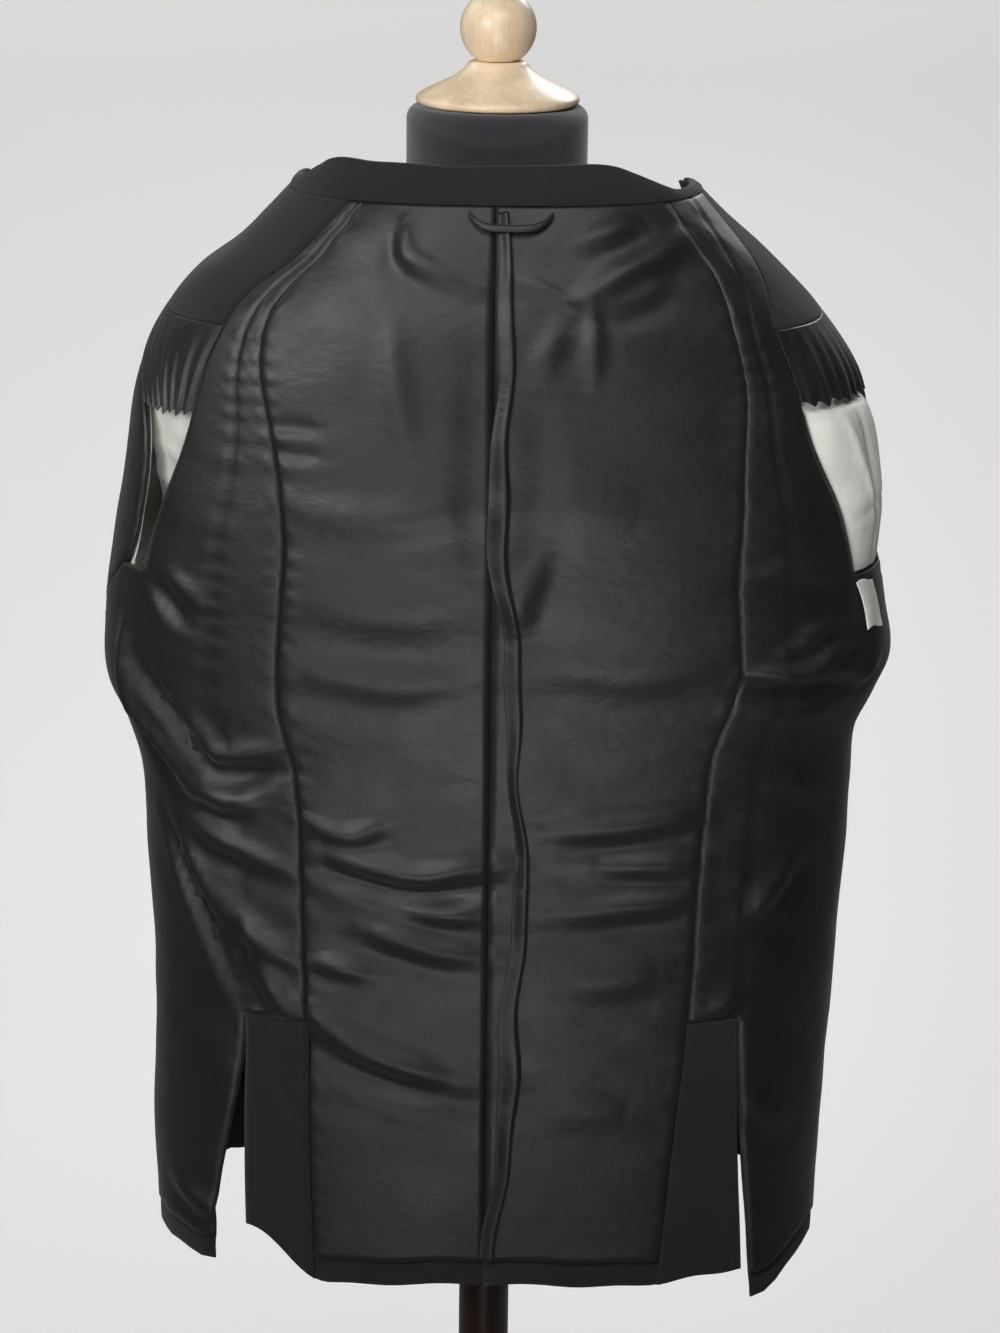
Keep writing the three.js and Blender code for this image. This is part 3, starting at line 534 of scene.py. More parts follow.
# quads of both faces of a wall over the kept cells, and of the rim along every free edge
def wallFaces(kept, columns, rows, wrap):
    wide = columns if wrap else columns + 1
    total = wide * (rows + 1)

    def index(i, j):
        return (i % wide if wrap else i) * (rows + 1) + j

    i, j = np.nonzero(kept)
    a, b, c, d = index(i, j), index(i, j + 1), index(i + 1, j + 1), index(i + 1, j)
    parts = [np.stack([a, b, c, d], 1), np.stack([a, d, c, b], 1) + total]
    edges = {(-1, 0): (b, a), (1, 0): (d, c), (0, -1): (a, d), (0, 1): (c, b)}
    padded = np.zeros((columns + 2, rows + 2), bool)
    padded[1:-1, 1:-1] = kept
    if wrap:
        padded[0, 1:-1], padded[-1, 1:-1] = kept[-1], kept[0]
    for (di, dj), (p, q) in edges.items():
        free = ~padded[i + 1 + di, j + 1 + dj]
        p, q = p[free], q[free]
        parts.append(np.stack([q, p, p + total, q + total], 1)[:, ::-1])
    return np.concatenate(parts)


# a grid's normals, from its ways across and down
def gridNormals(points, wrap=False):
    if wrap:
        across = np.roll(points, -1, 0) - np.roll(points, 1, 0)
    else:
        across = np.gradient(points, axis=0)
    down = np.gradient(points, axis=1)
    normal = np.cross(across, down)
    return normal / np.maximum(np.linalg.norm(normal, axis=-1, keepdims=True), 1e-9)


# reads which side a piece's name ends with, and keeps nothing of it
def declareSheet(piece, name):
    own = name.rsplit("_", 1)[-1]
    own = own if own in signOf else "whole"


# a wall of cloth between an outer and an inner face, over the kept cells
def clothWall(name, outer, inner, kept, wrap, slot):
    points = np.concatenate([outer.reshape(-1, 3), inner.reshape(-1, 3)])
    declareSheet(addMesh(name, points, wallFaces(kept, *kept.shape, wrap), slot), name)


# one panel of the jacket: the fine grid over the cells that keepCell names
def clothPanel(name, side, panel, keepCell, depth, wall, slot, folds=1.0, fine=None, hemOut=None):
    fineColumns, fineRows = fine or (jacket["fineColumns"], jacket["fineRows"])
    columns = columnOf["front"] * fineColumns
    rows = jacket["hemRow"] * fineRows
    i, j = np.meshgrid(np.arange(columns), np.arange(rows), indexing="ij")
    kept = keepCell(i // fineColumns, j // fineRows)
    used = np.nonzero(kept)
    i0, i1, j0, j1 = used[0].min(), used[0].max() + 1, used[1].min(), used[1].max() + 1
    kept = kept[i0:i1, j0:j1]
    column, row = np.meshgrid(np.arange(i0, i1 + 1) / fineColumns, np.arange(j0, j1 + 1) / fineRows,
                              indexing="ij")
    out = -depth + 0 * column
    if hemOut is not None:
        out = out + (depth - hemOut) * smooth((row - jacket["liningHemRow"] + 0.3) / 0.9)
    corner = np.zeros((kept.shape[0] + 2, kept.shape[1] + 2), int)
    corner[1:-1, 1:-1] = kept
    a, b, c, d = corner[:-1, :-1], corner[1:, :-1], corner[:-1, 1:], corner[1:, 1:]
    pullAside, pullDown = np.sign(b + d - a - c), np.sign(c + d - a - b)
    # the satin dips into its seams, and puckers a little along them
    level = np.interp(row, np.arange(len(jacket["levels"])), jacket["levels"])
    seamDistance = np.full(column.shape, 99.0)
    for seam in ("sideBack", "armFront", "facing", "vent"):
        away = np.abs(columnAngle(side, column, level) - readTable(seams[side], seam, level))
        away = away * jacket["seamReach"]
        onEdge = ((np.abs(column - columnOf[seam]) < 0.01) & (pullAside != 0)).any()
        seamDistance = np.minimum(seamDistance, away) if onEdge else seamDistance
    if slot == "lining_satin":
        beside = np.exp(-((seamDistance - jacket["puckerAway"]) / jacket["puckerAway"]) ** 2)
        pucker = jacket["pucker"] * np.sin(level / 2.6 + 3 * np.sin(level / 23)) * beside
        out = out - jacket["seamDip"] * np.exp(-(seamDistance / jacket["seamDipWide"]) ** 2) + pucker
    points, angle, z = panelPoint(side, panel, column, row, out, folds)
    normal = plainNormal(side, angle, z)
    aside = plainAcross(side, angle, z)
    aside = aside / np.linalg.norm(aside, axis=-1, keepdims=True)
    points = points + aside * (jacket["seamGap"] * pullAside)[..., None]
    points[..., 2] -= jacket["seamGap"] * pullDown
    if hemOut is not None:  # the shell's top edge goes up behind the collar
        points[..., 2] += jacket["collarRise"] * smooth(1 - row / jacket["collarRiseRows"])
    clothWall(name, points, points - normal * wall, kept, False, slot)


# low to just below high
def inBand(value, low, high):
    return (value >= low) & (value < high)


arm = (columnOf["armBack"], columnOf["armFront"])


# the side panel widens to the vent below, and ends at the armhole's middle or front
def sideCells(i, j):
    low = np.where(j < jacket["ventRow"], columnOf["sideBack"], columnOf["vent"])
    high = np.where(j < jacket["underarmRow"], arm[0], arm[1])
    return (i >= low) & (i < high)


# the front panel runs over the shoulder, less the armhole
def frontCells(i, j):
    low = np.where(j < jacket["shoulderRow"], arm[0], arm[1])
    hole = inBand(i, *arm) & inBand(j, jacket["shoulderRow"], jacket["underarmRow"])
    return (i >= low) & ~hole


liningCells = {
    "back_lining": lambda i, j: (i < columnOf["sideBack"]) & (j < jacket["liningHemRow"]),
    "side_lining": lambda i, j: sideCells(i, j) & (j < jacket["liningHemRow"]),
    "front_lining": lambda i, j: (frontCells(i, j) & (i < columnOf["facing"])
                                  & inBand(j, jacket["shoulderRow"], jacket["liningHemRow"])),
    "front_facing": lambda i, j: frontCells(i, j) & ((i >= columnOf["facing"]) | (j < jacket["shoulderRow"])),
    "vent_facing": lambda i, j: inBand(i, columnOf["sideBack"], columnOf["vent"]) & (j >= jacket["ventRow"]),
}
shellCells = {
    "back": lambda i, j: i < np.where(j < jacket["ventRow"], columnOf["sideBack"], columnOf["vent"]),
    "side": sideCells,
    "front": frontCells,
}


# the lining's panels, then the wool shell's behind them
def makeJacketBody(side):
    for name, cells in liningCells.items():
        panel = "back" if name in ("back_lining", "vent_facing") else "side"
        slot = "lining_satin" if name.endswith("lining") else "suit_wool"
        clothPanel(f"{name}_{side}", side, panel, cells, 0, jacket["satin"], slot,
                   folds=jacket["wholeFolds"] if slot == "lining_satin" else jacket["facingFolds"])
    for name, cells in shellCells.items():
        panel = "back" if name == "back" else "side"
        clothPanel(f"{name}_{side}", side, panel, cells, jacket["shellDepth"], jacket["wool"], "suit_wool",
                   fine=jacket["shellFine"], hemOut=jacket["shellHemDepth"])


# a free sheet: the given face, whose outer side is toward outwards, and one a wall's thickness behind it
def sheetFrom(name, points, wall, slot, outwards):
    normal = gridNormals(points)
    if (normal * outwards).sum() < 0:
        normal = -normal
    kept = np.ones((points.shape[0] - 1, points.shape[1] - 1), bool)
    clothWall(name, points, points - normal * wall, kept, False, slot)


# the level way from the upright axis to each point
def fromAxis(points):
    away = points.copy()
    away[..., 2] = 0
    return away


# two parameters from 0 to 1
def gridOf(columns, rows):
    return np.meshgrid(np.linspace(0, 1, columns + 1), np.linspace(0, 1, rows + 1), indexing="ij")


# places of the creased face, lifted along its normal
def onJacket(side, angle, z, lift, folds=1.0):
    lift = lift + folds * foldHeight(side, angle, z)
    return plainPoint(side, angle, z) + plainNormal(side, angle, z) * lift[..., None]


# places of the creased back, x from the centre, on whichever side x is
def acrossBack(x, z, lift, folds=1.0):
    left = onJacket("left", angleAtX("left", np.minimum(x, 0), z), z, lift, folds)
    right = onJacket("right", angleAtX("right", np.maximum(x, 0), z), z, lift, folds)
    return np.where((x < 0)[..., None], left, right)


pleat = dict(
    height=(1419, 684), halfWidth=7, lift=0.5, crown=3.4, pressed=0.2, wall=0.9, grid=(18, 420),
    line=tableOf("z x", [
        (1419, 7), (1362, 8), (1300, 6), (1180, 6), (1125, 14), (1045, 18), (950, 22), (870, 18),
        (790, 14), (684, 4)]))


# a narrow fold of spare satin that wanders down the centre back, its right edge pressed thin
def makePleat():
    u, v = gridOf(*pleat["grid"])
    z = between(pleat["height"], v)
    swing = 1.6 * np.sin(z / 29) + 1.1 * np.sin(z / 13 + 1)
    half = pleat["halfWidth"] * (0.82 + 0.2 * np.sin(z / 61 + 0.6) + 0.1 * np.sin(z / 21))
    x = readTable(pleat["line"], "x", z) + swing + (2 * u - 1) * half
    crown = smooth(u / 0.75) * (1 - smooth((u - 1 + pleat["pressed"]) / pleat["pressed"]))
    lift = pleat["lift"] + pleat["crown"] * crown * (0.75 + 0.3 * np.sin(z / 37)) + pleat["wall"]
    points = acrossBack(x, z, lift)
    sheetFrom("centre_back_pleat", points, pleat["wall"], "lining_satin", fromAxis(points))


collar = dict(
    end=104, lean=12, fall=17, turn=4.6, wall=1.9, foot=1423, seamZ=1423.3, grid=(260, 40),
    standShare=0.5, rollShare=0.14, crest=1.0, fallLean=0.6, fallClear=2.5, fullRise=20,
    rise=tableOf("z left right", [(104, 6, 3), (78, 8, 4), (58, 23, 6), (34, 24, 23), (0, 23, 23)]))


# the stand rises and leans in along a quarter wave, rolls over its crest and comes down as the fall
def makeCollar():
    u, v = gridOf(*collar["grid"])
    signed = (2 * u - 1) * collar["end"]
    angle = np.abs(signed)
    rise = np.where(signed < 0, readTable(collar["rise"], "left", angle),
                    readTable(collar["rise"], "right", angle))
    foot = collar["foot"] + 0 * angle
    base = np.where((signed < 0)[..., None],
                    plainPoint("left", angle, foot), plainPoint("right", angle, foot))
    inwards = -fromAxis(base)
    inwards /= np.linalg.norm(inwards, axis=-1, keepdims=True)
    rollEnd = collar["standShare"] + collar["rollShare"]
    stand = np.clip(v / collar["standShare"], 0, 1)
    roll = np.clip((v - collar["standShare"]) / collar["rollShare"], 0, 1)
    fall = np.clip((v - rollEnd) / (1 - rollEnd), 0, 1)
    slope = 0.8 * np.sin(signed / 9) + 0.6 * np.sin(signed / 4.3 + 1)
    full = np.clip(rise / collar["fullRise"], 0.35, 1)
    inward = (collar["lean"] * full * stand ** 1.5 + collar["turn"] * (1 - np.cos(np.pi * roll)) / 2
              + collar["fallLean"] * fall + 0.25 * slope * stand)
    up = (rise * stand ** 0.9 + collar["crest"] * np.sin(np.pi * roll)
          - np.minimum(collar["fall"], np.maximum(rise - collar["fallClear"], 0)) * fall)
    points = base + inwards * inward[..., None]
    points[..., 2] = collar["seamZ"] + up + 0.5 * slope * stand * np.clip(rise / collar["fullRise"], 0, 1)
    sheetFrom("collar", points, collar["wall"], "suit_wool", fromAxis(points) * (stand < 1)[..., None])


loop = dict(centre=10, reach=28, top=1420, drop=2.4, sag=9.5, half=2.3, lift=1.5, bow=4.2, thick=1.1,
            hollow=0.78, folds=0.6, grid=(60, 10))


# a narrow tube of satin that sags from its two sewn ends
def makeHangerLoop():
    u, v = gridOf(*loop["grid"])
    t = 2 * u - 1
    spread = 1 - t ** 4
    middle = loop["top"] - loop["sag"] * spread - loop["drop"]
    turn = 2 * np.pi * v
    z = middle + loop["half"] * np.cos(turn)
    x = loop["centre"] + loop["reach"] * t
    lift = loop["lift"] + loop["bow"] * spread + loop["thick"] * np.sin(turn)
    points = acrossBack(x, z, lift, loop["folds"])
    rings = points[:, :-1].transpose(1, 0, 2)
    kept = np.ones((rings.shape[0], rings.shape[1] - 1), bool)
    core = rings.mean(0, keepdims=True)
    hollow = core + (rings - core) * loop["hollow"]
    clothWall("hanger_loop", rings, hollow, kept, True, "lining_satin")


headGathers = {  # where each gather lies across the head, how wide and how high
    "left": [(0.05, 0.035, 2.2), (0.17, 0.045, 3.2), (0.3, 0.04, 2.4), (0.41, 0.05, 3.6), (0.55, 0.045, 2.6),
             (0.66, 0.05, 3.0), (0.8, 0.045, 2.4), (0.92, 0.04, 2.8)],
    "right": [(0.07, 0.04, 2.6), (0.2, 0.05, 3.4), (0.34, 0.04, 2.2), (0.46, 0.055, 3.6), (0.6, 0.04, 2.4),
              (0.73, 0.05, 3.2), (0.88, 0.045, 2.6)],
}
sleeveHead = dict(top=1340, foot={"left": 1280, "right": 1291}, seamAllowance=0.3, backGap=0.35, frontGap=0.9,
                  sag=2.2, dip=1.6, lift=0.1, puff=0.85, wall=0.8, folds=0.5, grid=(150, 60))


# gathered satin: upright ridges that grow downwards, and a scalloped foot that dips at each
def makeSleeveHead(side):
    u, v = gridOf(*sleeveHead["grid"])
    ridge = sum(high * np.exp(-((u - at - 0.02 * v) / wide) ** 2) for at, wide, high in headGathers[side])
    top, foot = sleeveHead["top"], sleeveHead["foot"][side]
    z = (top - sleeveHead["seamAllowance"] + (foot - top) * v
         - sleeveHead["dip"] * ridge * v ** 2 + sleeveHead["sag"] * v ** 2)
    low = readTable(seams[side], "armBack", z) + sleeveHead["backGap"]
    high = readTable(seams[side], "armFront", z) - sleeveHead["frontGap"]
    lift = sleeveHead["lift"] + ridge * v ** 0.7 * sleeveHead["puff"]
    points = onJacket(side, between((low, high), u), z, lift, sleeveHead["folds"])
    sheetFrom(f"sleeve_head_{side}", points, sleeveHead["wall"], "lining_satin", fromAxis(points))


# A sleeve: pairs hold its value below the armhole and at the cuff.
sleeve = dict(
    armTop=1336, armFoot=1163, armOver=1.5, squareness=0.75, mouthOut=-7.0,
    angle=(84, 71), half=(34, 23), deep=(27, 20), clear=-19, height=(1140, 738),
    crush=(2.4, 1.6), crushIn=0.8, around=72, rows=120, seamGap=0.2,
    lining=(0.1, 1.1), shell=(2.2, 3.9),
)


# keeps a value's sign and presses it toward a squarer outline
def squared(value):
    return np.sign(value) * np.abs(value) ** sleeve["squareness"]


# from the armhole's outline, 0, through the level ring below it, 1, to the cuff, 2
def sleeveSurface(side, turn, down):
    cosine, sine = np.cos(turn * 2 * np.pi), np.sin(turn * 2 * np.pi)
    armTop, armFoot = sleeve["armTop"], sleeve["armFoot"]
    ringZ = (armTop + armFoot) / 2 + (armTop - armFoot) / 2 * squared(sine)
    low = readTable(seams[side], "armBack", ringZ) - sleeve["armOver"]
    high = readTable(seams[side], "armFront", ringZ) + sleeve["armOver"]
    ringAngle = (low + high) / 2 - (high - low) / 2 * squared(cosine)
    lower = np.clip(down - 1, 0, 1)
    half = between(sleeve["half"], lower)
    deep = between(sleeve["deep"], lower)
    tubeAngle = between(sleeve["angle"], lower) - half * cosine
    tubeOut = sleeve["clear"] - deep - deep * sine
    tubeZ = between(sleeve["height"], lower)
    part = np.clip(down, 0, 1)
    join, sink = smooth(part), part ** (1.7 + 2.3 * np.maximum(sine, 0))
    z = ringZ + (tubeZ - ringZ) * part ** 1.6
    crush = (sleeve["crush"][0] * np.sin(down * 23 + 3 * sine) * np.sin(turn * 12.6 + down * 4)
             + sleeve["crush"][1] * np.sin(down * 41 + 2 * cosine)) * smooth(down * 1.4 - 0.2)
    mouth = sleeve["mouthOut"]
    out = mouth + (tubeOut - mouth) * sink - np.abs(crush) * sleeve["crushIn"]
    angle = ringAngle + (tubeAngle - ringAngle) * join
    return plainPoint(side, angle, z) + plainNormal(side, angle, z) * out[..., None]


# one closed lining tube, and two half tubes of wool around it
def makeSleeve(side):
    around, rows = sleeve["around"], sleeve["rows"]
    turn, down = np.meshgrid(np.arange(around) / around, np.linspace(0, 2, rows + 1), indexing="ij")
    surface = sleeveSurface(side, turn, down)
    normal = gridNormals(surface, True)
    axis = surface.mean(0, keepdims=True)
    if (normal * (surface - axis)).sum() < 0:
        normal = -normal
    shellTop = rows // 4 + 2
    layers = {  # how far its faces stand out, its first row, its columns and its cloth
        "sleeve_lining": (sleeve["lining"], 0, (0, around), "sleeve_lining_white"),
        "top_sleeve": (sleeve["shell"], shellTop, (around // 2, around), "suit_wool"),
        "under_sleeve": (sleeve["shell"], shellTop, (0, around // 2), "suit_wool"),
    }
    for name, ((inner, outer), first, (start, end), slot) in layers.items():
        whole = name == "sleeve_lining"
        pick = np.arange(around) if whole else np.arange(start, end + 1) % around
        face = (surface + normal * outer)[pick][:, first:]
        back = (surface + normal * inner)[pick][:, first:]
        if not whole:  # each half stops just short of the seam
            for edge, towards in ((0, 1), (-1, -2)):
                for layer in (face, back):
                    way = layer[towards] - layer[edge]
                    layer[edge] += way / np.linalg.norm(way, axis=-1, keepdims=True) * sleeve["seamGap"]
        columns = around if whole else len(pick) - 1
        kept = np.ones((columns, face.shape[1] - 1), bool)
        clothWall(f"{name}_{side}", face, back, kept, whole, slot)


pouch = dict(height=(1293, 1169), gap=0.9, free=(1286, 1168), sink=-3.2, swell=15, wall=0.9, folds=0.3,
             grid=(70, 110))
# how high or deep each long crease is, where it starts across, its slant and its width
pouchCreases = [(1.5, 0.3, 0.18, 0.05), (-1.8, 0.52, -0.1, 0.045), (1.3, 0.72, -0.22, 0.06)]


# the pulled-out lining swells past the armhole and draws in to its foot, with long soft creases
def makePouch():
    u, v = gridOf(*pouch["grid"])
    z = between(pouch["height"], v)
    low = readTable(seams["right"], "armBack", z) + pouch["gap"]
    high = readTable(seams["right"], "armFront", z) - pouch["gap"]
    freeTop, freeFoot = pouch["free"]
    free = np.clip((freeTop - z) / (freeTop - freeFoot), 0, 1)
    swell = (4 * u * (1 - u)) ** 0.7 * np.sin(np.pi * free ** 0.6) ** 0.6
    crease = sum(high * np.exp(-((u - start - slant * v) / wide) ** 2)
                 for high, start, slant, wide in pouchCreases)
    crease = crease - 1.2 * np.exp(-((v - 0.72 + 0.2 * u) / 0.035) ** 2)
    lift = pouch["sink"] + pouch["swell"] * swell + crease * swell
    points = onJacket("right", between((low, high), u), z, lift, pouch["folds"])
    sheetFrom("pulled_lining_right", points, pouch["wall"], "sleeve_lining_white", fromAxis(points))


tab = dict(height=(1163, 1130), angle=63.5, width=7.5, clear=0.9, wall=0.8, stand=4, curl=1.1, grid=(24, 40))


# a short strip that curls a little as it hangs
def makeTab():
    u, v = gridOf(*tab["grid"])
    z = between(tab["height"], v) + 1.5 * np.sin(u * 5)
    lift = tab["clear"] + tab["wall"] + tab["stand"] * v + tab["curl"] * np.sin(u * np.pi * 1.6 + v) * v
    points = onJacket("right", tab["angle"] + tab["width"] * u + 0.5 * np.sin(v * 4), z, lift)
    sheetFrom("lining_tab_right", points, tab["wall"], "sleeve_lining_white", fromAxis(points))


lapel = dict(height=(1330, 1060), gap=0.7, out=-7.4, slope=-1.5, wall=2.6, grid=(30, 80))
lapelWidth = tableOf("z deg", [(1330, 20), (1290, 27), (1180, 20), (1060, 4)])


# a flat strip folded in behind the front edge
def makeLapel(side):
    u, v = gridOf(*lapel["grid"])
    z = between(lapel["height"], v)
    edge = readTable(seams[side], "front", z) - lapel["gap"]
    angle = edge - u * readTable(lapelWidth, "deg", z)
    lift = lapel["out"] + lapel["slope"] * u
    points = plainPoint(side, angle, z) + plainNormal(side, angle, z) * lift[..., None]
    sheetFrom(f"lapel_{side}", points, lapel["wall"], "suit_wool", fromAxis(points))


torso = tableOf("z wide back front", [
    (1428, 66, 64, 62), (1416, 88, 70, 64), (1404, 147, 80, 66), (1385, 169.2, 90, 76),
    (1360, 191.2, 98, 88), (1320, 197, 106, 98), (1260, 190, 112, 104), (1170, 176, 112, 108),
    (1080, 160, 102, 102), (1000, 150, 94, 96), (900, 160, 106, 100), (800, 172, 116, 104),
    (705, 172, 116, 104)])


# rings of (half-width, depth to the back, depth to the front, z), from top to bottom, closed by its ends
def roundSolid(name, radii, slot, around=128):
    turn = np.arange(around) / around * 2 * np.pi
    rings = np.array(radii, float)
    cosine = np.cos(turn)[None, :]
    deep = np.where(cosine > 0, rings[:, 1:2], rings[:, 2:3])
    x = rings[:, 0:1] * np.sin(turn)[None, :]
    points = np.stack([x, -deep * cosine, rings[:, 3:4] + 0 * x], axis=-1)
    k, i = np.meshgrid(np.arange(len(rings) - 1), np.arange(around), indexing="ij")
    a = (k * around + i).ravel()
    b = (k * around + (i + 1) % around).ravel()
    faces = np.stack([a, a + around, b + around, b], 1)
    return addMesh(name, points, faces, slot)


# a smooth outline of (radius, z) pairs, each span eased into several rings
def turnedRings(outline, steps):
    outline = np.array(outline, float)
    t = np.linspace(0, len(outline) - 1, (len(outline) - 1) * steps + 1)
    radius = np.interp(t, np.arange(len(outline)), outline[:, 0])
    z = np.interp(t, np.arange(len(outline)), outline[:, 1])
    for _ in range(5):
        radius[1:-1] = radius[1:-1] * 0.5 + (radius[:-2] + radius[2:]) * 0.25
        z[1:-1] = z[1:-1] * 0.5 + (z[:-2] + z[2:]) * 0.25
    return np.stack([radius, radius, radius, z], axis=-1)


tiny = 0.02  # radius at which a turned piece closes on its axis
form = dict(neckTop=1478, neckRadius=62, corner=9, neckFoot=1434, shoulder=1428, foot=705)


# the neck's rounded top and straight side, then level rings of the torso, then its closed foot
def makeForm():
    top, radius, corner, foot = form["neckTop"], form["neckRadius"], form["corner"], form["foot"]
    neck = [(tiny, top), (30, top)]
    neck += [(radius - corner + corner * math.sin(a), top - corner + corner * math.cos(a))
             for a in np.linspace(0, math.pi / 2, 9)]
    neck += [(radius, z) for z in np.linspace(1464, form["neckFoot"], 8)]
    rings = [(r, r, r, z) for r, z in neck]
    levels = between((form["shoulder"], foot), np.linspace(0, 1, 110) ** 1.25)
    rings += [(float(readTable(torso, "wide", z)), float(readTable(torso, "back", z)),
               float(readTable(torso, "front", z)), z) for z in levels]
    rings += [(168, 112, 100, foot), (90, 60, 54, foot), (tiny, tiny, tiny, foot)]
    roundSolid("form_torso", rings, "form_jersey", 160)


# cap, knob, pole and base, each an outline turned about the axis
def makeTurnedPieces():
    capFoot, capTop, knobZ, knobRadius = 1478.3, 1508, 1530, 26
    cap = [(tiny, capTop), (18, capTop), (20, capTop - 1.2), (21.5, capTop - 4), (28, capTop - 10),
           (36, capTop - 14), (45, capTop - 18), (52, capTop - 21.5), (55.6, capFoot + 5.5),
           (56, capFoot + 3.2), (55, capFoot + 1), (52, capFoot + 0.05), (tiny, capFoot)]
    roundSolid("neck_cap", turnedRings(cap, 4), "cap_wood")
    angles = np.linspace(90, -52, 46) * deg
    knob = [(max(tiny, knobRadius * math.cos(a)), knobZ + knobRadius * math.sin(a)) for a in angles]
    knob += [(15.6, 1508.9), (15.4, 1508.4), (tiny, 1508.35)]
    roundSolid("cap_knob", [(r, r, r, z) for r, z in knob], "cap_wood")
    poleRadius = 18.5
    pole = [(tiny, 704.7), (18.4, 704.6), (poleRadius, 704)]
    pole += [(poleRadius, z) for z in np.linspace(690, 60, 12)]
    pole += [(poleRadius, 30.5), (18.3, 30.3), (tiny, 30.3)]
    roundSolid("stand_pole", [(r, r, r, z) for r, z in pole], "stand_wood", 64)
    base = [(tiny, 30), (30, 30), (60, 29.6), (110, 25.5), (150, 20.5), (166, 17.8), (172, 15), (175, 10),
            (175, 5), (173, 1.2), (170, 0), (90, 0), (tiny, 0)]
    roundSolid("stand_base", turnedRings(base, 4), "stand_wood", 160)


print("making the jacket")
for side in ("left", "right"):
    makeJacketBody(side)
    makeSleeveHead(side)
    makeSleeve(side)
    makeLapel(side)
makePleat()
makeCollar()
makeHangerLoop()
makePouch()
makeTab()
print("making the form")
makeForm()
makeTurnedPieces()
for name in ("front_button_1", "front_button_2"):
    button = bpy.data.objects[name]
    if not button.material_slots:
        button.data.materials.append(finishes["button"])
    for slot in button.material_slots:
        slot.material = finishes["button"]


backdrop = dict(near=-5.0, bend=1.2, top=4.5, halfWidth=6)


# A floor that curves up into a wall behind the stand. The wall is clear from behind. To every ray but the
# camera's the paper is darker, so that it doesn't light the lower jacket, and only the camera sees its glow.
def makeBackdrop():
    bend, wide = backdrop["bend"], backdrop["halfWidth"]
    angles = np.linspace(-90, 0, 24) * deg
    profile = [(backdrop["near"], 0)]
    profile += [(bend + bend * math.cos(a), bend + bend * math.sin(a)) for a in angles]
    profile += [(2 * bend, backdrop["top"])]
    points = [(x, y, z) for y, z in profile for x in (-wide, wide)]
    faces = [(2 * k, 2 * k + 1, 2 * k + 3, 2 * k + 2) for k in range(len(profile) - 1)]
    mesh = bpy.data.meshes.new("backdrop")
    mesh.from_pydata(points, [], faces)
    mesh.polygons.foreach_set("use_smooth", np.ones(len(faces), bool))
    paper = Finish("backdropPaper")
    seen = paper.node("ShaderNodeLightPath", {}, {}, "Is Camera Ray")
    behind = paper.node("ShaderNodeNewGeometry", {}, {}, "Backfacing")
    clear = paper.node("ShaderNodeBsdfTransparent", {}, {})
    paper.feed(Base_Color=paper.blend(seen, studio["paperUnseen"], studio["paper"]), Roughness=0.95,
               Emission_Color=(1.0, 1.0, 1.0, 1.0), Emission_Strength=seen * studio["paperGlow"])
    mixed = paper.node("ShaderNodeMixShader", {}, {
        0: behind, 1: Shade(paper.tree, paper.shader.outputs["BSDF"]), 2: clear})
    output = paper.tree.nodes["Material Output"]
    paper.tree.links.new(mixed.socket, output.inputs["Surface"])
    mesh.materials.append(paper.material)
    wall = bpy.data.objects.new("backdrop", mesh)
    bpy.context.scene.collection.objects.link(wall)


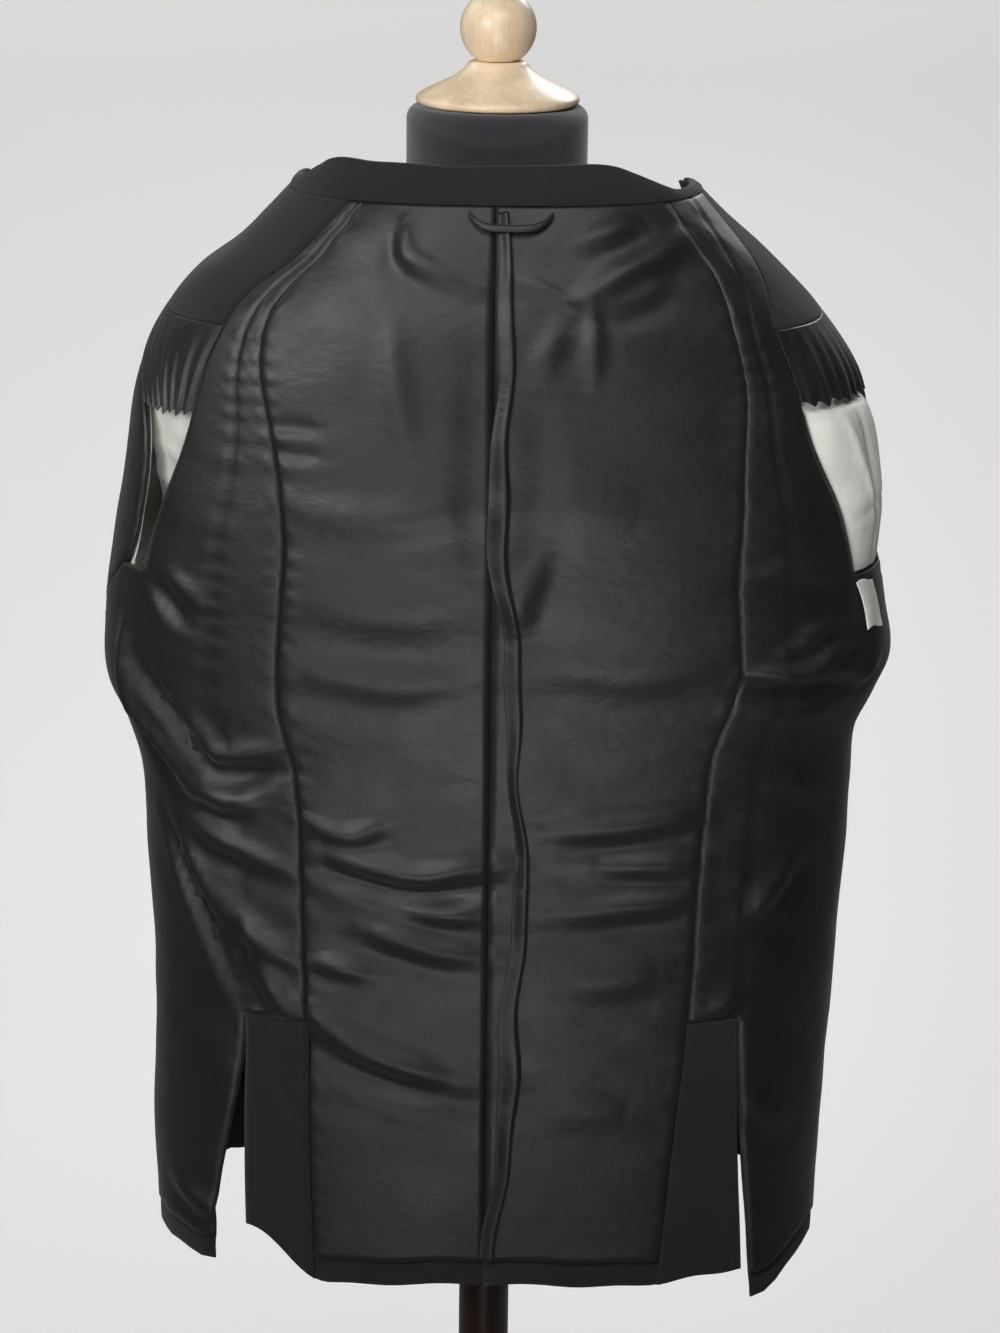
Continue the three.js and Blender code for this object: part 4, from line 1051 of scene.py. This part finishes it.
studio = dict(
    camera=dict(place=(0.0064, -2.45, 1.80), down=16.4, roll=0.71, lens=96.8),
    lamps=[
        dict(name="keyLamp", place=(-1.5, -2.2, 2.35), at=(-0.06, 0, 1.36), size=(1.4, 1.0), spread=70,
             power=8.5),
        dict(name="topLamp", place=(0.1, -1.5, 3.0), at=(0, 0, 1.36), size=(1.3, 0.9), spread=80, power=4),
        dict(name="fillLamp", place=(-0.1, -2.3, 0.25), at=(-0.02, 0, 1.34), size=(1.0, 0.5), spread=40,
             power=1.2),
        dict(name="backLamp", place=(0.9, 1.9, 2.6), at=(0, 0, 1.1), size=(1.2, 0.8), spread=180, power=30),
        dict(name="wallLamp", place=(-1.7, 1.0, 2.7), at=(-0.9, 2.4, 1.6), size=(1.1, 0.8), spread=180,
             power=24),
    ],
    paper=(0.84, 0.835, 0.83), paperUnseen=(0.22, 0.22, 0.22), paperGlow=0.2,
    skyColour=(0.97, 0.98, 1.0), skyLow=0.002, skyHigh=0.10, skySeen=0.72,
)


# The world is dark below the horizon and brightens upward; the camera sees it plain and pale.
def makeWorld():
    world = bpy.data.worlds.new("studio")
    world.use_nodes = True
    sky = Recipe(world.node_tree)
    way = sky.node("ShaderNodeTexCoord", {}, {}, "Generated")
    up = sky.node("ShaderNodeSeparateXYZ", {}, {0: way}, "Z")
    seen = sky.node("ShaderNodeLightPath", {}, {}, "Is Camera Ray")
    glow = sky.remap(up, -0.05, 0.75, studio["skyLow"], studio["skyHigh"])
    strength = sky.remap(seen, 0, 1, 0, studio["skySeen"]) + glow * sky.remap(seen, 0, 1, 1, 0)
    background = sky.tree.nodes["Background"]
    background.inputs["Color"].default_value = (*studio["skyColour"], 1)
    sky.tree.links.new(strength.socket, background.inputs["Strength"])
    return world


# the camera, the lamps and the world
def makeStudio():
    scene = bpy.context.scene
    camera = bpy.data.objects.new("camera", bpy.data.cameras.new("camera"))
    camera.data.lens = studio["camera"]["lens"]
    camera.matrix_world = (Matrix.Translation(studio["camera"]["place"])
                           @ Matrix.Rotation((90 - studio["camera"]["down"]) * deg, 4, "X")
                           @ Matrix.Rotation(studio["camera"]["roll"] * deg, 4, "Z"))
    scene.collection.objects.link(camera)
    scene.camera = camera
    for lamp in studio["lamps"]:
        light = bpy.data.lights.new(lamp["name"], "AREA")
        light.shape = "RECTANGLE"
        light.size, light.size_y = lamp["size"]
        light.spread = lamp["spread"] * deg
        light.energy = lamp["power"]
        holder = bpy.data.objects.new(lamp["name"], light)
        back = Vector(lamp["place"]) - Vector(lamp["at"])
        turned = back.to_track_quat("Z", "Y").to_matrix().to_4x4()
        holder.matrix_world = Matrix.Translation(lamp["place"]) @ turned
        scene.collection.objects.link(holder)
    scene.world = makeWorld()
    scene.view_settings.view_transform = "Standard"


makeBackdrop()
makeStudio()
print("studio ready")
